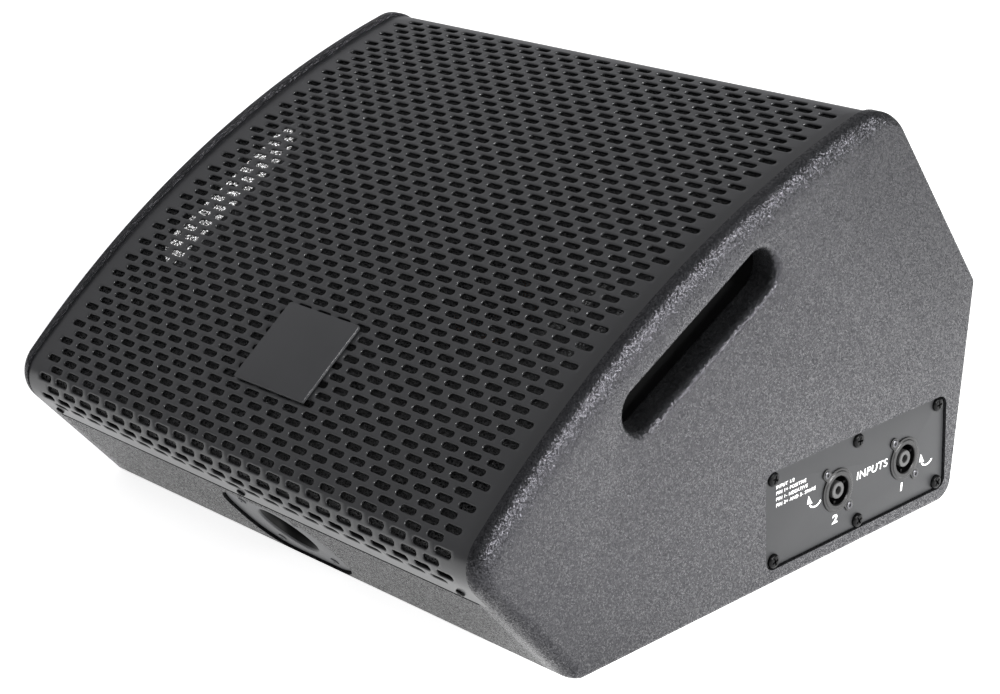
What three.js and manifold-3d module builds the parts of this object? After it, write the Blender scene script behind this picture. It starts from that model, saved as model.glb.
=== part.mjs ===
// A passive stage monitor wedge with a coaxial driver behind a curved perforated grille.
// Millimetres, +Z up. X runs across the cabinet, the grille faces -Y, the base stands on Z = 0.
// The side view is drawn in (y, z), from the front bottom corner, the foot.
import * as THREE from 'three';
import { mergeVertices } from 'three/addons/utils/BufferGeometryUtils.js';
import Module from 'manifold-3d';

const wasm = await Module();
wasm.setup();

// Cabinet, side view: each side's length and its heading in degrees from +Y.
const WIDTH = 402;
const BASE_LENGTH = 305;
const BACK_LENGTH = 128.9;
const BACK_HEADING = 82;
const SLOPE_LENGTH = 143.1;
const SLOPE_HEADING = 123.5;
const LOWER_LENGTH = 105.1;
const LOWER_HEADING = 129.5;
const FRONT_RADIUS = 640;
const FOOT_ROUND = 12;
const HEEL_ROUND = 13;
const SHOULDER_ROUND = 4;
const CREST_ROUND = 27;
const LIP_ROUND = 20;

// The grille's front: it meets the same lower face and back slope a little nearer their far ends.
const GRILLE_LOWER_LENGTH = 103.7;
const GRILLE_SLOPE_LENGTH = 140.2;
const GRILLE_RADIUS = 664;
const GRILLE_CREST_ROUND = 25;
const GRILLE_LIP_ROUND = 18.5;

// Boards
const SIDE_BOARD = 18;
const BOARD = 12;
const GAP = 0.3;

// Side panel edge softening: how far it reaches across the edge, and down the side.
const FRONT_EDGE = new THREE.Vector2(7, 15);
const LOWER_EDGE = new THREE.Vector2(10, 9);
const PLAIN_EDGE = new THREE.Vector2(3, 3);

// Hand slot, cut through both side panels
const SLOT_CENTRE = new THREE.Vector2(95.9, 154.9);
const SLOT_LENGTH = 124.5;
const SLOT_WIDTH = 24.5;
const SLOT_HEADING = 28.3;
const SLOT_RIM = 4.5;

// Grille sheet
const SHEET = 1.5;
const REBATE = 2.6;
const GRILLE_WIDTH = 381.4;
const LOWER_FLANGE_START = 71.4;
const UPPER_FLANGE_END = 40;
const LOWER_SCREW_AT = 77.9;
const LOWER_SCREW_X = [-175, 0, 175];
const UPPER_SCREW_AT = 31;
const UPPER_SCREW_X = [-120, 120];
const BADGE_WIDTH = 59;
const BADGE_HEIGHT = 52;
const BADGE_X = 3.5;
const BADGE_FROM_LIP = 75.8;
const FOAM = 3;

// Where the boards under the grille end: up the lower face, and down the slope from the crest
const LOWER_BOARD_END = 86;
const SLOPE_BOARD_END = 23;

// Baffle, measured inward from the straight line between lip and crest, and up from its middle
const BAFFLE_DEPTH = 25;
const BAFFLE_LOW = -155;
const BAFFLE_HIGH = 163.5;
const DRIVER_UP = 22;
const PORT_UP = -118;
const PORT_X = 150;
const PORT_LENGTH = 52;

// Driver: radii from its axis, depths behind the baffle's front face
const FRAME_RADIUS = 128;
const DRIVER_CUTOUT = 117;
const DRIVER_SCREW_RADIUS = 122;
const COIL_RADIUS = 26;
const MAGNET_RADIUS = 60;
const TOP_PLATE_DEPTH = 62;
const TOP_PLATE = 8;
const MAGNET = 16;
const BACK_PLATE = 8;
const HORN_DRIVER = 18;

// Input plate on the right side panel, side view
const PLATE_CENTRE = new THREE.Vector2(221.2, 37.3);
const PLATE_LENGTH = 153.6;
const PLATE_HEIGHT = 55.4;
const PLATE_ROUND = 6;
const PLATE_SHEET = 1.6;
const PLATE_RECESS = 1.5;
const PLATE_SCREW_STEP = 70.6;
const PLATE_SCREW_RISE = 23.9;
const SOCKETS = [new THREE.Vector2(262.7, 37.1), new THREE.Vector2(204.3, 37.1)];
const SOCKET_RADIUS = 12;
const RIVET = new THREE.Vector2(9.5, -12);

// Pole mount, let into the lower face
const POLE_UP = 34.2;
const POLE_RECESS = 3.7;
const POLE_PLATE = new THREE.Vector2(86, 60);
const POLE_PLATE_ROUND = 25;
const POLE_PLATE_THICK = 2;
const POLE_MOUTH = 21.5;
const POLE_BORE = 18.5;
const POLE_WALL = 2;
const POLE_DEPTH = 48;
const POLE_SCREW = new THREE.Vector2(23, 20);

const RIGHT = WIDTH / 2;
const INSIDE = RIGHT - SIDE_BOARD;
const ROUND_STEPS = 20;

const radians = THREE.MathUtils.degToRad;
const vec2 = (a, b) => new THREE.Vector2(a, b);
const vec3 = (x, y, z) => new THREE.Vector3(x, y, z);
const toward = (angle) => vec2(Math.cos(angle), Math.sin(angle));
const along = (from, direction, distance) => from.clone().addScaledVector(direction, distance);

// ---- Solids -------------------------------------------------------------------------------

// Welds a geometry into one closed skin and turns it to face outward.
function closed(geometry) {
  geometry.deleteAttribute('normal');
  geometry.deleteAttribute('uv');
  const welded = mergeVertices(geometry, 1e-4);
  const { position } = welded.attributes;
  const corners = [vec3(), vec3(), vec3()];
  const index = welded.index.array;
  const kept = [];
  let volume = 0;
  for (let i = 0; i < index.length; i += 3) {
    const triangle = [index[i], index[i + 1], index[i + 2]];
    if (new Set(triangle).size < 3) continue;
    kept.push(...triangle);
    triangle.forEach((vertex, k) => corners[k].fromBufferAttribute(position, vertex));
    volume += corners[0].dot(corners[1].clone().cross(corners[2]));
  }
  if (volume < 0) kept.reverse();
  welded.setIndex(kept);
  return welded;
}

function toManifold(geometry) {
  const skin = closed(geometry);
  return new wasm.Manifold(new wasm.Mesh({
    numProp: 3,
    vertProperties: new Float32Array(skin.attributes.position.array),
    triVerts: new Uint32Array(skin.index.array),
  }));
}

function fromManifold(manifold) {
  const mesh = manifold.getMesh();
  const geometry = new THREE.BufferGeometry();
  geometry.setAttribute('position', new THREE.BufferAttribute(mesh.vertProperties, 3));
  geometry.setIndex(new THREE.BufferAttribute(mesh.triVerts, 1));
  return geometry;
}

function cut(body, tools) {
  let result = toManifold(body);
  for (const tool of tools) result = result.subtract(toManifold(tool));
  return fromManifold(result);
}

function join(bodies) {
  const [first, ...rest] = bodies.map(toManifold);
  return fromManifold(rest.reduce((sum, body) => sum.add(body), first));
}

// A side-view outline carried straight across from one X to another.
function prism(points, fromX, toX) {
  const shape = new THREE.Shape(points);
  const geometry = new THREE.ExtrudeGeometry(shape, { depth: toX - fromX, bevelEnabled: false });
  const turn = new THREE.Matrix4().makeBasis(vec3(0, 1, 0), vec3(0, 0, 1), vec3(1, 0, 0));
  return geometry.applyMatrix4(turn).translate(fromX, 0, 0);
}

// A skin through loops of equal length, closed by a flat face at each end.
function loft(loops) {
  const count = loops[0].length;
  const positions = loops.flat().flatMap((point) => point.toArray());
  const index = [];
  for (let ring = 0; ring < loops.length - 1; ring += 1) {
    for (let i = 0; i < count; i += 1) {
      const a = ring * count + i;
      const b = ring * count + ((i + 1) % count);
      index.push(a, b, b + count, a, b + count, a + count);
    }
  }
  const last = (loops.length - 1) * count;
  const sideView = (loop) => loop.map((point) => vec2(point.y, point.z));
  for (const [a, b, c] of THREE.ShapeUtils.triangulateShape(sideView(loops[0]), [])) {
    index.push(a, c, b);
  }
  for (const [a, b, c] of THREE.ShapeUtils.triangulateShape(sideView(loops.at(-1)), [])) {
    index.push(last + a, last + b, last + c);
  }
  const geometry = new THREE.BufferGeometry();
  geometry.setAttribute('position', new THREE.Float32BufferAttribute(positions, 3));
  geometry.setIndex(index);
  return geometry;
}

// A turned piece about local Z from (radius, height) pairs that close on themselves or the axis.
function turned(profile, steps = ROUND_STEPS) {
  const points = profile.map(([radius, height]) => vec2(radius, height));
  return new THREE.LatheGeometry(points, steps).rotateX(Math.PI / 2);
}

// A turned piece with a hole through it: the profile returns to its first point.
const turnedRing = (profile, steps) => turned([...profile, profile[0]], steps);

function rod(radius, fromHeight, toHeight, steps = 12) {
  return turned([[0, fromHeight], [radius, fromHeight], [radius, toHeight], [0, toHeight]], steps);
}

// A flat plate on local XY with rounded corners, from one local Z to another.
function roundedPlate(width, height, radius, fromHeight, toHeight) {
  const shape = new THREE.Shape();
  const across = width / 2 - radius;
  const up = height / 2 - radius;
  shape.absarc(across, up, radius, 0, Math.PI / 2);
  shape.absarc(-across, up, radius, Math.PI / 2, Math.PI);
  shape.absarc(-across, -up, radius, Math.PI, Math.PI * 1.5);
  shape.absarc(across, -up, radius, Math.PI * 1.5, Math.PI * 2);
  const options = { depth: toHeight - fromHeight, bevelEnabled: false, curveSegments: 3 };
  return new THREE.ExtrudeGeometry(shape, options).translate(0, 0, fromHeight);
}

function cable(points, radius = 1.8) {
  const shape = new THREE.Shape().absarc(0, 0, radius, 0, Math.PI * 2);
  const extrudePath = new THREE.CatmullRomCurve3(points);
  const options = { steps: 12, extrudePath, curveSegments: 3, bevelEnabled: false };
  return new THREE.ExtrudeGeometry(shape, options);
}

// ---- Side view ----------------------------------------------------------------------------

// A side of the cabinet: its first point, its direction and its outward normal.
function side(from, headingDegrees) {
  const angle = radians(headingDegrees);
  return { from, direction: toward(angle), normalAngle: angle - Math.PI / 2 };
}

// The point at given depths inside two sides.
function inCorner(first, firstDepth, second, secondDepth) {
  const a = toward(first.normalAngle);
  const b = toward(second.normalAngle);
  const onA = a.dot(first.from) - firstDepth;
  const onB = b.dot(second.from) - secondDepth;
  const scale = a.x * b.y - a.y * b.x;
  return vec2((onA * b.y - onB * a.y) / scale, (a.x * onB - b.x * onA) / scale);
}

const foot = vec2(0, 0);
const heel = vec2(BASE_LENGTH, 0);
const shoulder = along(heel, toward(radians(BACK_HEADING)), BACK_LENGTH);
const crest = along(shoulder, toward(radians(SLOPE_HEADING)), SLOPE_LENGTH);

const base = side(foot, 0);
const back = side(heel, BACK_HEADING);
const slope = side(shoulder, SLOPE_HEADING);
const lower = side(foot, LOWER_HEADING - 180);

// The centre of a rounding between a front arc and a straight side.
function roundingAtFront(centre, frontRadius, straight, radius) {
  const onLine = along(straight.from, toward(straight.normalAngle), -radius);
  const offset = onLine.clone().sub(centre);
  const middle = offset.dot(straight.direction);
  const reach = (frontRadius - radius) ** 2 - offset.lengthSq() + middle ** 2;
  const nearCrest = Math.sign(straight.direction.y) * Math.sqrt(reach);
  return along(onLine, straight.direction, nearCrest - middle);
}

// Points round an arc, each with its outward normal and its edge softening.
function arc(centre, radius, fromAngle, toAngle, steps, fromEdge, toEdge) {
  return Array.from({ length: steps + 1 }, (_, i) => {
    const normal = toward(THREE.MathUtils.lerp(fromAngle, toAngle, i / steps));
    const edge = fromEdge.clone().lerp(toEdge, i / steps);
    return { point: along(centre, normal, radius), normal, edge };
  });
}

function straightRounding(first, second, radius, fromEdge, toEdge) {
  const centre = inCorner(first, radius, second, radius);
  const turn = (second.normalAngle - first.normalAngle + Math.PI * 2) % (Math.PI * 2);
  const end = first.normalAngle + turn;
  return arc(centre, radius, first.normalAngle, end, 4, fromEdge, toEdge);
}

// A front: an arc between the lower face and the back slope, rounded into both.
function curvedFront(lowerLength, slopeLength, radius, lipRadius, crestRadius) {
  const lip = along(foot, toward(radians(LOWER_HEADING)), lowerLength);
  const top = along(shoulder, toward(radians(SLOPE_HEADING)), slopeLength);
  const chord = top.clone().sub(lip);
  const chordNormal = toward(chord.angle() + Math.PI / 2);
  const middle = along(lip, chord, 0.5);
  const drop = Math.sqrt(radius ** 2 - chord.lengthSq() / 4);
  const centre = along(middle, chordNormal, -drop);
  const lipCentre = roundingAtFront(centre, radius, lower, lipRadius);
  const crestCentre = roundingAtFront(centre, radius, slope, crestRadius);
  const lipAngle = lipCentre.clone().sub(centre).angle();
  const crestAngle = crestCentre.clone().sub(centre).angle();
  const lowerAngle = lower.normalAngle + Math.PI * 2;
  const crestRound = arc(
    crestCentre, crestRadius, slope.normalAngle, crestAngle, 5, PLAIN_EDGE, FRONT_EDGE);
  const frontArc = arc(centre, radius, crestAngle, lipAngle, 10, FRONT_EDGE, FRONT_EDGE);
  const lipRound = arc(lipCentre, lipRadius, lipAngle, lowerAngle, 6, FRONT_EDGE, LOWER_EDGE);
  return {
    lip, middle, chordNormal, centre, chordAngle: chord.angle(),
    samples: [...crestRound, ...frontArc.slice(1, -1), ...lipRound],
  };
}

const footRound = straightRounding(lower, base, FOOT_ROUND, LOWER_EDGE, PLAIN_EDGE);
const heelRound = straightRounding(base, back, HEEL_ROUND, PLAIN_EDGE, PLAIN_EDGE);
const shoulderRound = straightRounding(back, slope, SHOULDER_ROUND, PLAIN_EDGE, PLAIN_EDGE);
const panelFront = curvedFront(
  LOWER_LENGTH, SLOPE_LENGTH, FRONT_RADIUS, LIP_ROUND, CREST_ROUND);
const grilleFront = curvedFront(
  GRILLE_LOWER_LENGTH, GRILLE_SLOPE_LENGTH, GRILLE_RADIUS, GRILLE_LIP_ROUND, GRILLE_CREST_ROUND);
const outline = [...footRound, ...heelRound, ...shoulderRound, ...panelFront.samples];

const depths = outline.map(({ point }) => point.x);
const centreY = (Math.min(...depths) + Math.max(...depths)) / 2;
const inset = ({ point, normal }, depth) => along(point, normal, -depth);

// A point some way up the lower face from the foot, and one down the slope from the crest.
const upLower = (distance, depth) => along(
  along(foot, lower.direction, -distance), toward(lower.normalAngle), -depth);
const downSlope = (distance, depth) => along(
  along(crest, slope.direction, -distance), toward(slope.normalAngle), -depth);

// ---- Places -------------------------------------------------------------------------------

// A frame with local Z along an outward direction in the side view, and local X across.
function sideViewFrame(origin, x, outward) {
  const normal = vec3(0, outward.x, outward.y);
  const across = vec3(1, 0, 0);
  const up = normal.clone().cross(across);
  const place = new THREE.Matrix4().makeBasis(across, up, normal);
  return place.setPosition(x, origin.x, origin.y);
}

// A frame on the right side panel's outer face: local X is +Y, local Y is +Z, local Z is +X.
function rightFrame(origin, x = RIGHT) {
  const place = new THREE.Matrix4().makeBasis(vec3(0, 1, 0), vec3(0, 0, 1), vec3(1, 0, 0));
  return place.setPosition(x, origin.x, origin.y);
}

const at = (frame, geometry) => geometry.applyMatrix4(frame);

function onBaffle(x, up) {
  const { middle, chordAngle, chordNormal } = grilleFront;
  const origin = along(along(middle, toward(chordAngle), up), chordNormal, -BAFFLE_DEPTH);
  return sideViewFrame(origin, x, chordNormal);
}

const driverFrame = onBaffle(0, DRIVER_UP);
const portFrames = [onBaffle(-PORT_X, PORT_UP), onBaffle(PORT_X, PORT_UP)];
const poleFrame = sideViewFrame(upLower(POLE_UP, POLE_RECESS), 0, toward(lower.normalAngle));
const plateFrame = rightFrame(PLATE_CENTRE, RIGHT - PLATE_RECESS);
const socketFrames = SOCKETS.map((centre) => rightFrame(centre, RIGHT - PLATE_RECESS));

const shifted = (frame, x, y, z) => frame.clone().multiply(
  new THREE.Matrix4().makeTranslation(x, y, z));

const fourCorners = (x, y) => [[-x, -y], [x, -y], [x, y], [-x, y]];

// ---- Screws: one list per kind, used for the screws and for the holes they sit in -----------

const grilleScrewFrames = [
  ...LOWER_SCREW_X.map((x) => sideViewFrame(
    upLower(LOWER_SCREW_AT, 0), x, toward(lower.normalAngle))),
  ...UPPER_SCREW_X.map((x) => sideViewFrame(
    downSlope(UPPER_SCREW_AT, 0), x, toward(slope.normalAngle))),
];
const plateScrewFrames = [-1, 0, 1].flatMap((step) => [-1, 1].map((row) => shifted(
  plateFrame, step * PLATE_SCREW_STEP, row * PLATE_SCREW_RISE, 0)));
const rivetFrames = socketFrames.flatMap((frame) => [-1, 1].map((end) => shifted(
  frame, end * RIVET.x, end * RIVET.y, 0)));
const poleScrewFrames = fourCorners(POLE_SCREW.x, POLE_SCREW.y).map(([x, y]) => shifted(
  poleFrame, x, y, POLE_PLATE_THICK));
const driverScrewFrames = fourCorners(Math.SQRT1_2, Math.SQRT1_2).map(([x, y]) => shifted(
  driverFrame, x * DRIVER_SCREW_RADIUS, y * DRIVER_SCREW_RADIUS, 4));

const drill = (frames, radius, depth) => frames.map((frame) => at(frame, rod(
  radius, -depth, 12, 8)));

function screw(headRadius, headHeight, shankRadius, length) {
  return turned([
    [0, -length], [shankRadius, -length], [shankRadius, 0.1], [headRadius, 0.1],
    [headRadius * 0.8, headHeight], [0, headHeight],
  ], 8);
}

// ---- Cabinet boards -------------------------------------------------------------------------

function sideEdgeLoops() {
  const across = (x, depth) => outline.map((sample) => {
    const point = inset(sample, depth(sample));
    return vec3(x(sample), point.x, point.y);
  });
  const steps = 4;
  const loops = [across(() => INSIDE, () => 0)];
  for (let i = 0; i <= steps; i += 1) {
    const turn = (i / steps) * Math.PI / 2;
    loops.push(across(
      ({ edge }) => RIGHT - edge.x * (1 - Math.sin(turn)),
      ({ edge }) => edge.y * (1 - Math.cos(turn)),
    ));
  }
  return loops;
}

// The hand slot's outline, grown outward by some margin.
function slotLoop(x, grow) {
  const direction = toward(radians(SLOT_HEADING));
  const radius = SLOT_WIDTH / 2 + grow;
  const reach = (SLOT_LENGTH - SLOT_WIDTH) / 2;
  const end = (sign) => Array.from({ length: 7 }, (_, i) => {
    const angle = radians(SLOT_HEADING) + Math.PI * (i / 6 - 0.5);
    const centre = along(SLOT_CENTRE, direction, reach * sign);
    const point = along(centre, toward(angle), radius * sign);
    return vec3(x, point.x, point.y);
  });
  return [...end(1), ...end(-1)];
}

function handSlot() {
  const loops = [slotLoop(INSIDE - 1, 2), slotLoop(INSIDE, 2), slotLoop(INSIDE + 2, 0)];
  for (const turn of [90, 60, 30, 0].map(radians)) {
    const depth = SLOT_RIM * (1 - Math.cos(turn));
    loops.push(slotLoop(RIGHT - depth, SLOT_RIM * (1 - Math.sin(turn))));
  }
  return loft([...loops, slotLoop(RIGHT + 1, SLOT_RIM)]);
}

// The points the grille sheet follows, from its lower flange over the front to its upper one.
const grillePath = [
  { point: downSlope(UPPER_FLANGE_END, 0), normal: toward(slope.normalAngle) },
  ...grilleFront.samples,
  { point: upLower(LOWER_FLANGE_START, 0), normal: toward(lower.normalAngle) },
];

// A curved layer between two depths inside the grille's outer skin.
function grilleLayer(samples, outer, inner, halfWidth) {
  const near = samples.map((sample) => inset(sample, outer));
  const far = samples.map((sample) => inset(sample, inner)).reverse();
  return prism([...near, ...far], -halfWidth, halfWidth);
}

function sidePanel() {
  const tools = [handSlot(), grilleLayer(grillePath, -8, REBATE, GRILLE_WIDTH / 2 + GAP)];
  return cut(loft(sideEdgeLoops()), tools);
}

function rightSidePanel() {
  const windowCentre = SOCKETS[0].clone().add(SOCKETS[1]).multiplyScalar(0.5);
  const windowLength = SOCKETS[0].x - SOCKETS[1].x + 42;
  return cut(sidePanel(), [
    at(plateFrame, roundedPlate(
      PLATE_LENGTH + 2 * GAP, PLATE_HEIGHT + 2 * GAP, PLATE_ROUND, -PLATE_SHEET, 8)),
    at(rightFrame(windowCentre), roundedPlate(windowLength, 34, 3, -SIDE_BOARD - 1, 1)),
    ...drill(plateScrewFrames, 2, 13),
  ]);
}

const leftSidePanel = () => sidePanel().scale(-1, 1, 1);

// A board between two mitred corners, as thick as BOARD.
function mitredBoard(outer, first, second, third) {
  const half = GAP / 2;
  const start = inCorner(first, BOARD, second, BOARD);
  const end = inCorner(second, BOARD, third, BOARD);
  const points = [...outer, end, start].map((point) => point.clone());
  const shrink = (list, sign) => list.forEach((point) => point.addScaledVector(
    second.direction, half * sign));
  shrink([points[0], points.at(-1)], 1);
  shrink([points[outer.length - 1], points[outer.length]], -1);
  return prism(points, -INSIDE + GAP, INSIDE - GAP);
}

const firstHalf = (round) => round.slice(0, 3).map(({ point }) => point);
const secondHalf = (round) => round.slice(2).map(({ point }) => point);

const basePanel = () => mitredBoard(
  [...secondHalf(footRound), ...firstHalf(heelRound)], lower, base, back);
const backPanel = () => mitredBoard(
  [...secondHalf(heelRound), ...firstHalf(shoulderRound)], base, back, slope);

function slopePanel() {
  const points = [
    ...secondHalf(shoulderRound),
    downSlope(UPPER_FLANGE_END + GAP, 0),
    downSlope(UPPER_FLANGE_END + GAP, REBATE),
    downSlope(SLOPE_BOARD_END, REBATE),
    downSlope(SLOPE_BOARD_END, BOARD),
    inCorner(back, BOARD, slope, BOARD),
  ];
  points[0].addScaledVector(slope.direction, GAP);
  points.at(-1).addScaledVector(slope.direction, GAP);
  const board = prism(points, -INSIDE + GAP, INSIDE - GAP);
  return cut(board, drill(grilleScrewFrames.slice(3), 1.9, 10));
}

function lowerPanel() {
  const points = [
    upLower(LOWER_BOARD_END, BOARD),
    upLower(LOWER_BOARD_END, REBATE),
    upLower(LOWER_FLANGE_START - GAP, REBATE),
    upLower(LOWER_FLANGE_START - GAP, 0),
    ...firstHalf(footRound),
    inCorner(lower, BOARD, base, BOARD),
  ];
  points.at(-1).addScaledVector(lower.direction, -GAP);
  points.at(-2).addScaledVector(lower.direction, -GAP);
  const board = prism(points, -INSIDE + GAP, INSIDE - GAP);
  return cut(board, [
    at(poleFrame, rod(POLE_BORE + POLE_WALL + 2, -BOARD, 1, ROUND_STEPS)),
    at(poleFrame, roundedPlate(
      POLE_PLATE.x + 2 * GAP, POLE_PLATE.y + 2 * GAP, POLE_PLATE_ROUND, 0, 8)),
    ...drill(grilleScrewFrames.slice(0, 3), 1.9, 10),
    ...drill(poleScrewFrames, 2.1, 12),
  ]);
}

function bafflePanel() {
  const slab = new THREE.BoxGeometry(2 * (INSIDE - GAP), BAFFLE_HIGH - BAFFLE_LOW, BOARD);
  slab.translate(0, (BAFFLE_HIGH + BAFFLE_LOW) / 2, -BOARD / 2);
  return cut(at(onBaffle(0, 0), slab), [
    at(driverFrame, rod(DRIVER_CUTOUT, -BOARD - 1, 1, 28)),
    ...portFrames.map((frame) => at(frame, rod(25, -BOARD - 1, 1, ROUND_STEPS))),
    ...drill(driverScrewFrames, 2.1, 15),
  ]);
}

// ---- Grille, badge --------------------------------------------------------------------------

const grilleSheet = () => cut(
  grilleLayer(grillePath, 0, SHEET, GRILLE_WIDTH / 2), drill(grilleScrewFrames, 1.9, 10));

// Open-cell foam behind the perforations, ending short of the lower panel.
const grilleFoam = () => grilleLayer(
  grilleFront.samples.slice(0, -1), SHEET + GAP, SHEET + GAP + FOAM, INSIDE - 1);

function badgePlate() {
  const { lip, centre } = grilleFront;
  const angle = lip.clone().sub(centre).angle() - BADGE_FROM_LIP / GRILLE_RADIUS;
  const origin = along(centre, toward(angle), GRILLE_RADIUS);
  const frame = sideViewFrame(origin, BADGE_X, toward(angle));
  return at(frame, roundedPlate(BADGE_WIDTH, BADGE_HEIGHT, 2, 0.2, 1.4));
}

// ---- Driver, turned about its own axis; heights are minus the depth behind the baffle face ----

const MAGNET_FRONT = -TOP_PLATE_DEPTH - TOP_PLATE - GAP;
const BACK_PLATE_FRONT = MAGNET_FRONT - MAGNET - GAP;
const BACK_PLATE_REAR = BACK_PLATE_FRONT - BACK_PLATE;

function basket() {
  const shell = turnedRing([
    [FRAME_RADIUS, 0.2], [FRAME_RADIUS, 4], [112, 4], [104, -22],
    [MAGNET_RADIUS - 2, -TOP_PLATE_DEPTH + 2.4], [30, -TOP_PLATE_DEPTH + 2.4],
    [30, -TOP_PLATE_DEPTH + GAP], [MAGNET_RADIUS, -TOP_PLATE_DEPTH + GAP],
    [107, -22], [115, 0.2],
  ], 28);
  const vents = [0, 1, 2].map((turn) => new THREE.BoxGeometry(34, 240, 22)
    .translate(0, 0, -42)
    .rotateZ(turn * Math.PI / 3));
  return at(driverFrame, cut(cut(shell, vents), [
    ...fourCorners(Math.SQRT1_2, Math.SQRT1_2).map(([x, y]) => rod(2.2, -1, 6, 8)
      .translate(x * DRIVER_SCREW_RADIUS, y * DRIVER_SCREW_RADIUS, 0)),
  ]));
}

const cone = () => at(driverFrame, turnedRing([
  [92, -1], [92, 0.2], [58, -22], [COIL_RADIUS + 1, -44.4], [COIL_RADIUS + 1, -45.6], [58, -23.2],
], 28));

const surround = () => at(driverFrame, turnedRing([
  [92.3, 1], [97, 6.6], [104.6, 6.6], [109.4, 1], [109.4, 0], [104, 5.4], [97.6, 5.4], [92.3, 0],
], 28));

const spider = () => at(driverFrame, turnedRing([
  [COIL_RADIUS + 1.2, -48], [36, -46.4], [46, -49.6], [56, -48],
  [56, -48.8], [46, -50.4], [36, -47.2], [COIL_RADIUS + 1.2, -48.8],
]));

const voiceCoil = () => at(driverFrame, turnedRing([
  [COIL_RADIUS - 0.5, -40], [COIL_RADIUS + 0.5, -40],
  [COIL_RADIUS + 0.5, -74], [COIL_RADIUS - 0.5, -74],
]));

const topPlate = () => at(driverFrame, turnedRing([
  [COIL_RADIUS + 1.6, -TOP_PLATE_DEPTH], [MAGNET_RADIUS, -TOP_PLATE_DEPTH],
  [MAGNET_RADIUS, -TOP_PLATE_DEPTH - TOP_PLATE],
  [COIL_RADIUS + 1.6, -TOP_PLATE_DEPTH - TOP_PLATE],
]));

const ferriteMagnet = () => at(driverFrame, turnedRing([
  [30, MAGNET_FRONT], [MAGNET_RADIUS + 3, MAGNET_FRONT],
  [MAGNET_RADIUS + 3, MAGNET_FRONT - MAGNET], [30, MAGNET_FRONT - MAGNET],
]));

const backPlate = () => at(driverFrame, turnedRing([
  [10, -TOP_PLATE_DEPTH], [COIL_RADIUS - 1.6, -TOP_PLATE_DEPTH],
  [COIL_RADIUS - 1.6, BACK_PLATE_FRONT], [MAGNET_RADIUS, BACK_PLATE_FRONT],
  [MAGNET_RADIUS, BACK_PLATE_REAR], [10, BACK_PLATE_REAR],
]));

const hornFlare = () => at(driverFrame, turnedRing([
  [8, BACK_PLATE_REAR], [9.6, BACK_PLATE_REAR], [9.6, -60], [23, -22], [21.4, -22], [8, -60],
], 16));

const hornDriver = () => at(driverFrame, turned([
  [0, BACK_PLATE_REAR - GAP - HORN_DRIVER], [32, BACK_PLATE_REAR - GAP - HORN_DRIVER],
  [35, BACK_PLATE_REAR - GAP - HORN_DRIVER + 3], [35, BACK_PLATE_REAR - GAP],
  [0, BACK_PLATE_REAR - GAP],
]));

const portTube = (frame) => at(frame, turnedRing([
  [21, 2], [28, 2], [28, 0.2], [24.5, 0.2], [24.5, -PORT_LENGTH], [22.5, -PORT_LENGTH],
  [22.5, -3],
]));

// ---- Crossover, cables ------------------------------------------------------------------------

const CROSSOVER = vec3(-20, 252, BOARD);
const CROSSOVER_SIZE = vec2(176, 62);
const BOARD_TOP = 7;
const onCrossover = (geometry, x, y) => geometry.translate(
  CROSSOVER.x + x, CROSSOVER.y + y, CROSSOVER.z + BOARD_TOP);

function crossoverBoard() {
  const legs = fourCorners(CROSSOVER_SIZE.x / 2 - 6, CROSSOVER_SIZE.y / 2 - 6).map(([x, y]) => rod(
    3, GAP - BOARD_TOP, -1, 8).translate(x, y, 0));
  const sheet = new THREE.BoxGeometry(CROSSOVER_SIZE.x, CROSSOVER_SIZE.y, 1.6);
  return onCrossover(join([sheet.translate(0, 0, -0.8), ...legs]), 0, 0);
}

const inductor = (x, y, radius, height) => onCrossover(turnedRing([
  [radius * 0.45, GAP], [radius, GAP], [radius, height], [radius * 0.45, height],
], 20), x, y);

const capacitor = (x, y, radius, length) => onCrossover(
  rod(radius, -length / 2, length / 2, 16).rotateY(Math.PI / 2).translate(0, 0, radius + GAP), x, y);

const socketCable = () => cable([
  vec3(167, SOCKETS[0].x, SOCKETS[0].y), vec3(140, 260, 34), vec3(110, 256, 26), vec3(62, 250, 21.6)]);
const wooferCable = () => cable([
  vec3(-101, 250, 21.6), vec3(-116, 244, 30), vec3(-124, 214, 92), vec3(-112, 190, 132)]);
const hornCable = () => cable([
  vec3(-60, 224.6, 21.6), vec3(-56, 204, 21), vec3(-30, 190, 19), vec3(0, 183, 27)]);

// ---- Input plate, sockets, pole mount -----------------------------------------------------------

function inputPlate() {
  return cut(at(plateFrame, roundedPlate(
    PLATE_LENGTH, PLATE_HEIGHT, PLATE_ROUND, -PLATE_SHEET + 0.1, 0)), [
    ...socketFrames.map((frame) => at(frame, rod(SOCKET_RADIUS + GAP, -4, 4, 16))),
    ...drill(plateScrewFrames, 2, 13),
    ...drill(rivetFrames, 1.8, 6),
  ]);
}

// A round twist-lock socket with a square flange behind the plate.
function speakerSocket(frame) {
  const flange = roundedPlate(26, 31, 3, -PLATE_SHEET - 2.1, -PLATE_SHEET - 0.1);
  const body = rod(SOCKET_RADIUS, -28, 0.4, 16);
  const keyway = turned([[0, -5], [4.5, -5], [4.5, -14], [8.4, -14], [8.4, 2], [0, 2]], 12);
  const rivetHoles = [-1, 1].map((end) => rod(1.8, -6, 1, 8).translate(
    end * RIVET.x, end * RIVET.y, 0));
  return at(frame, cut(join([flange, body]), [keyway, ...rivetHoles]));
}

const rivet = (frame) => at(frame, turned([
  [0, -5.2], [1.5, -5.2], [1.5, 0.1], [2.8, 0.1], [2.2, 1], [0, 1]], 6));

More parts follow.
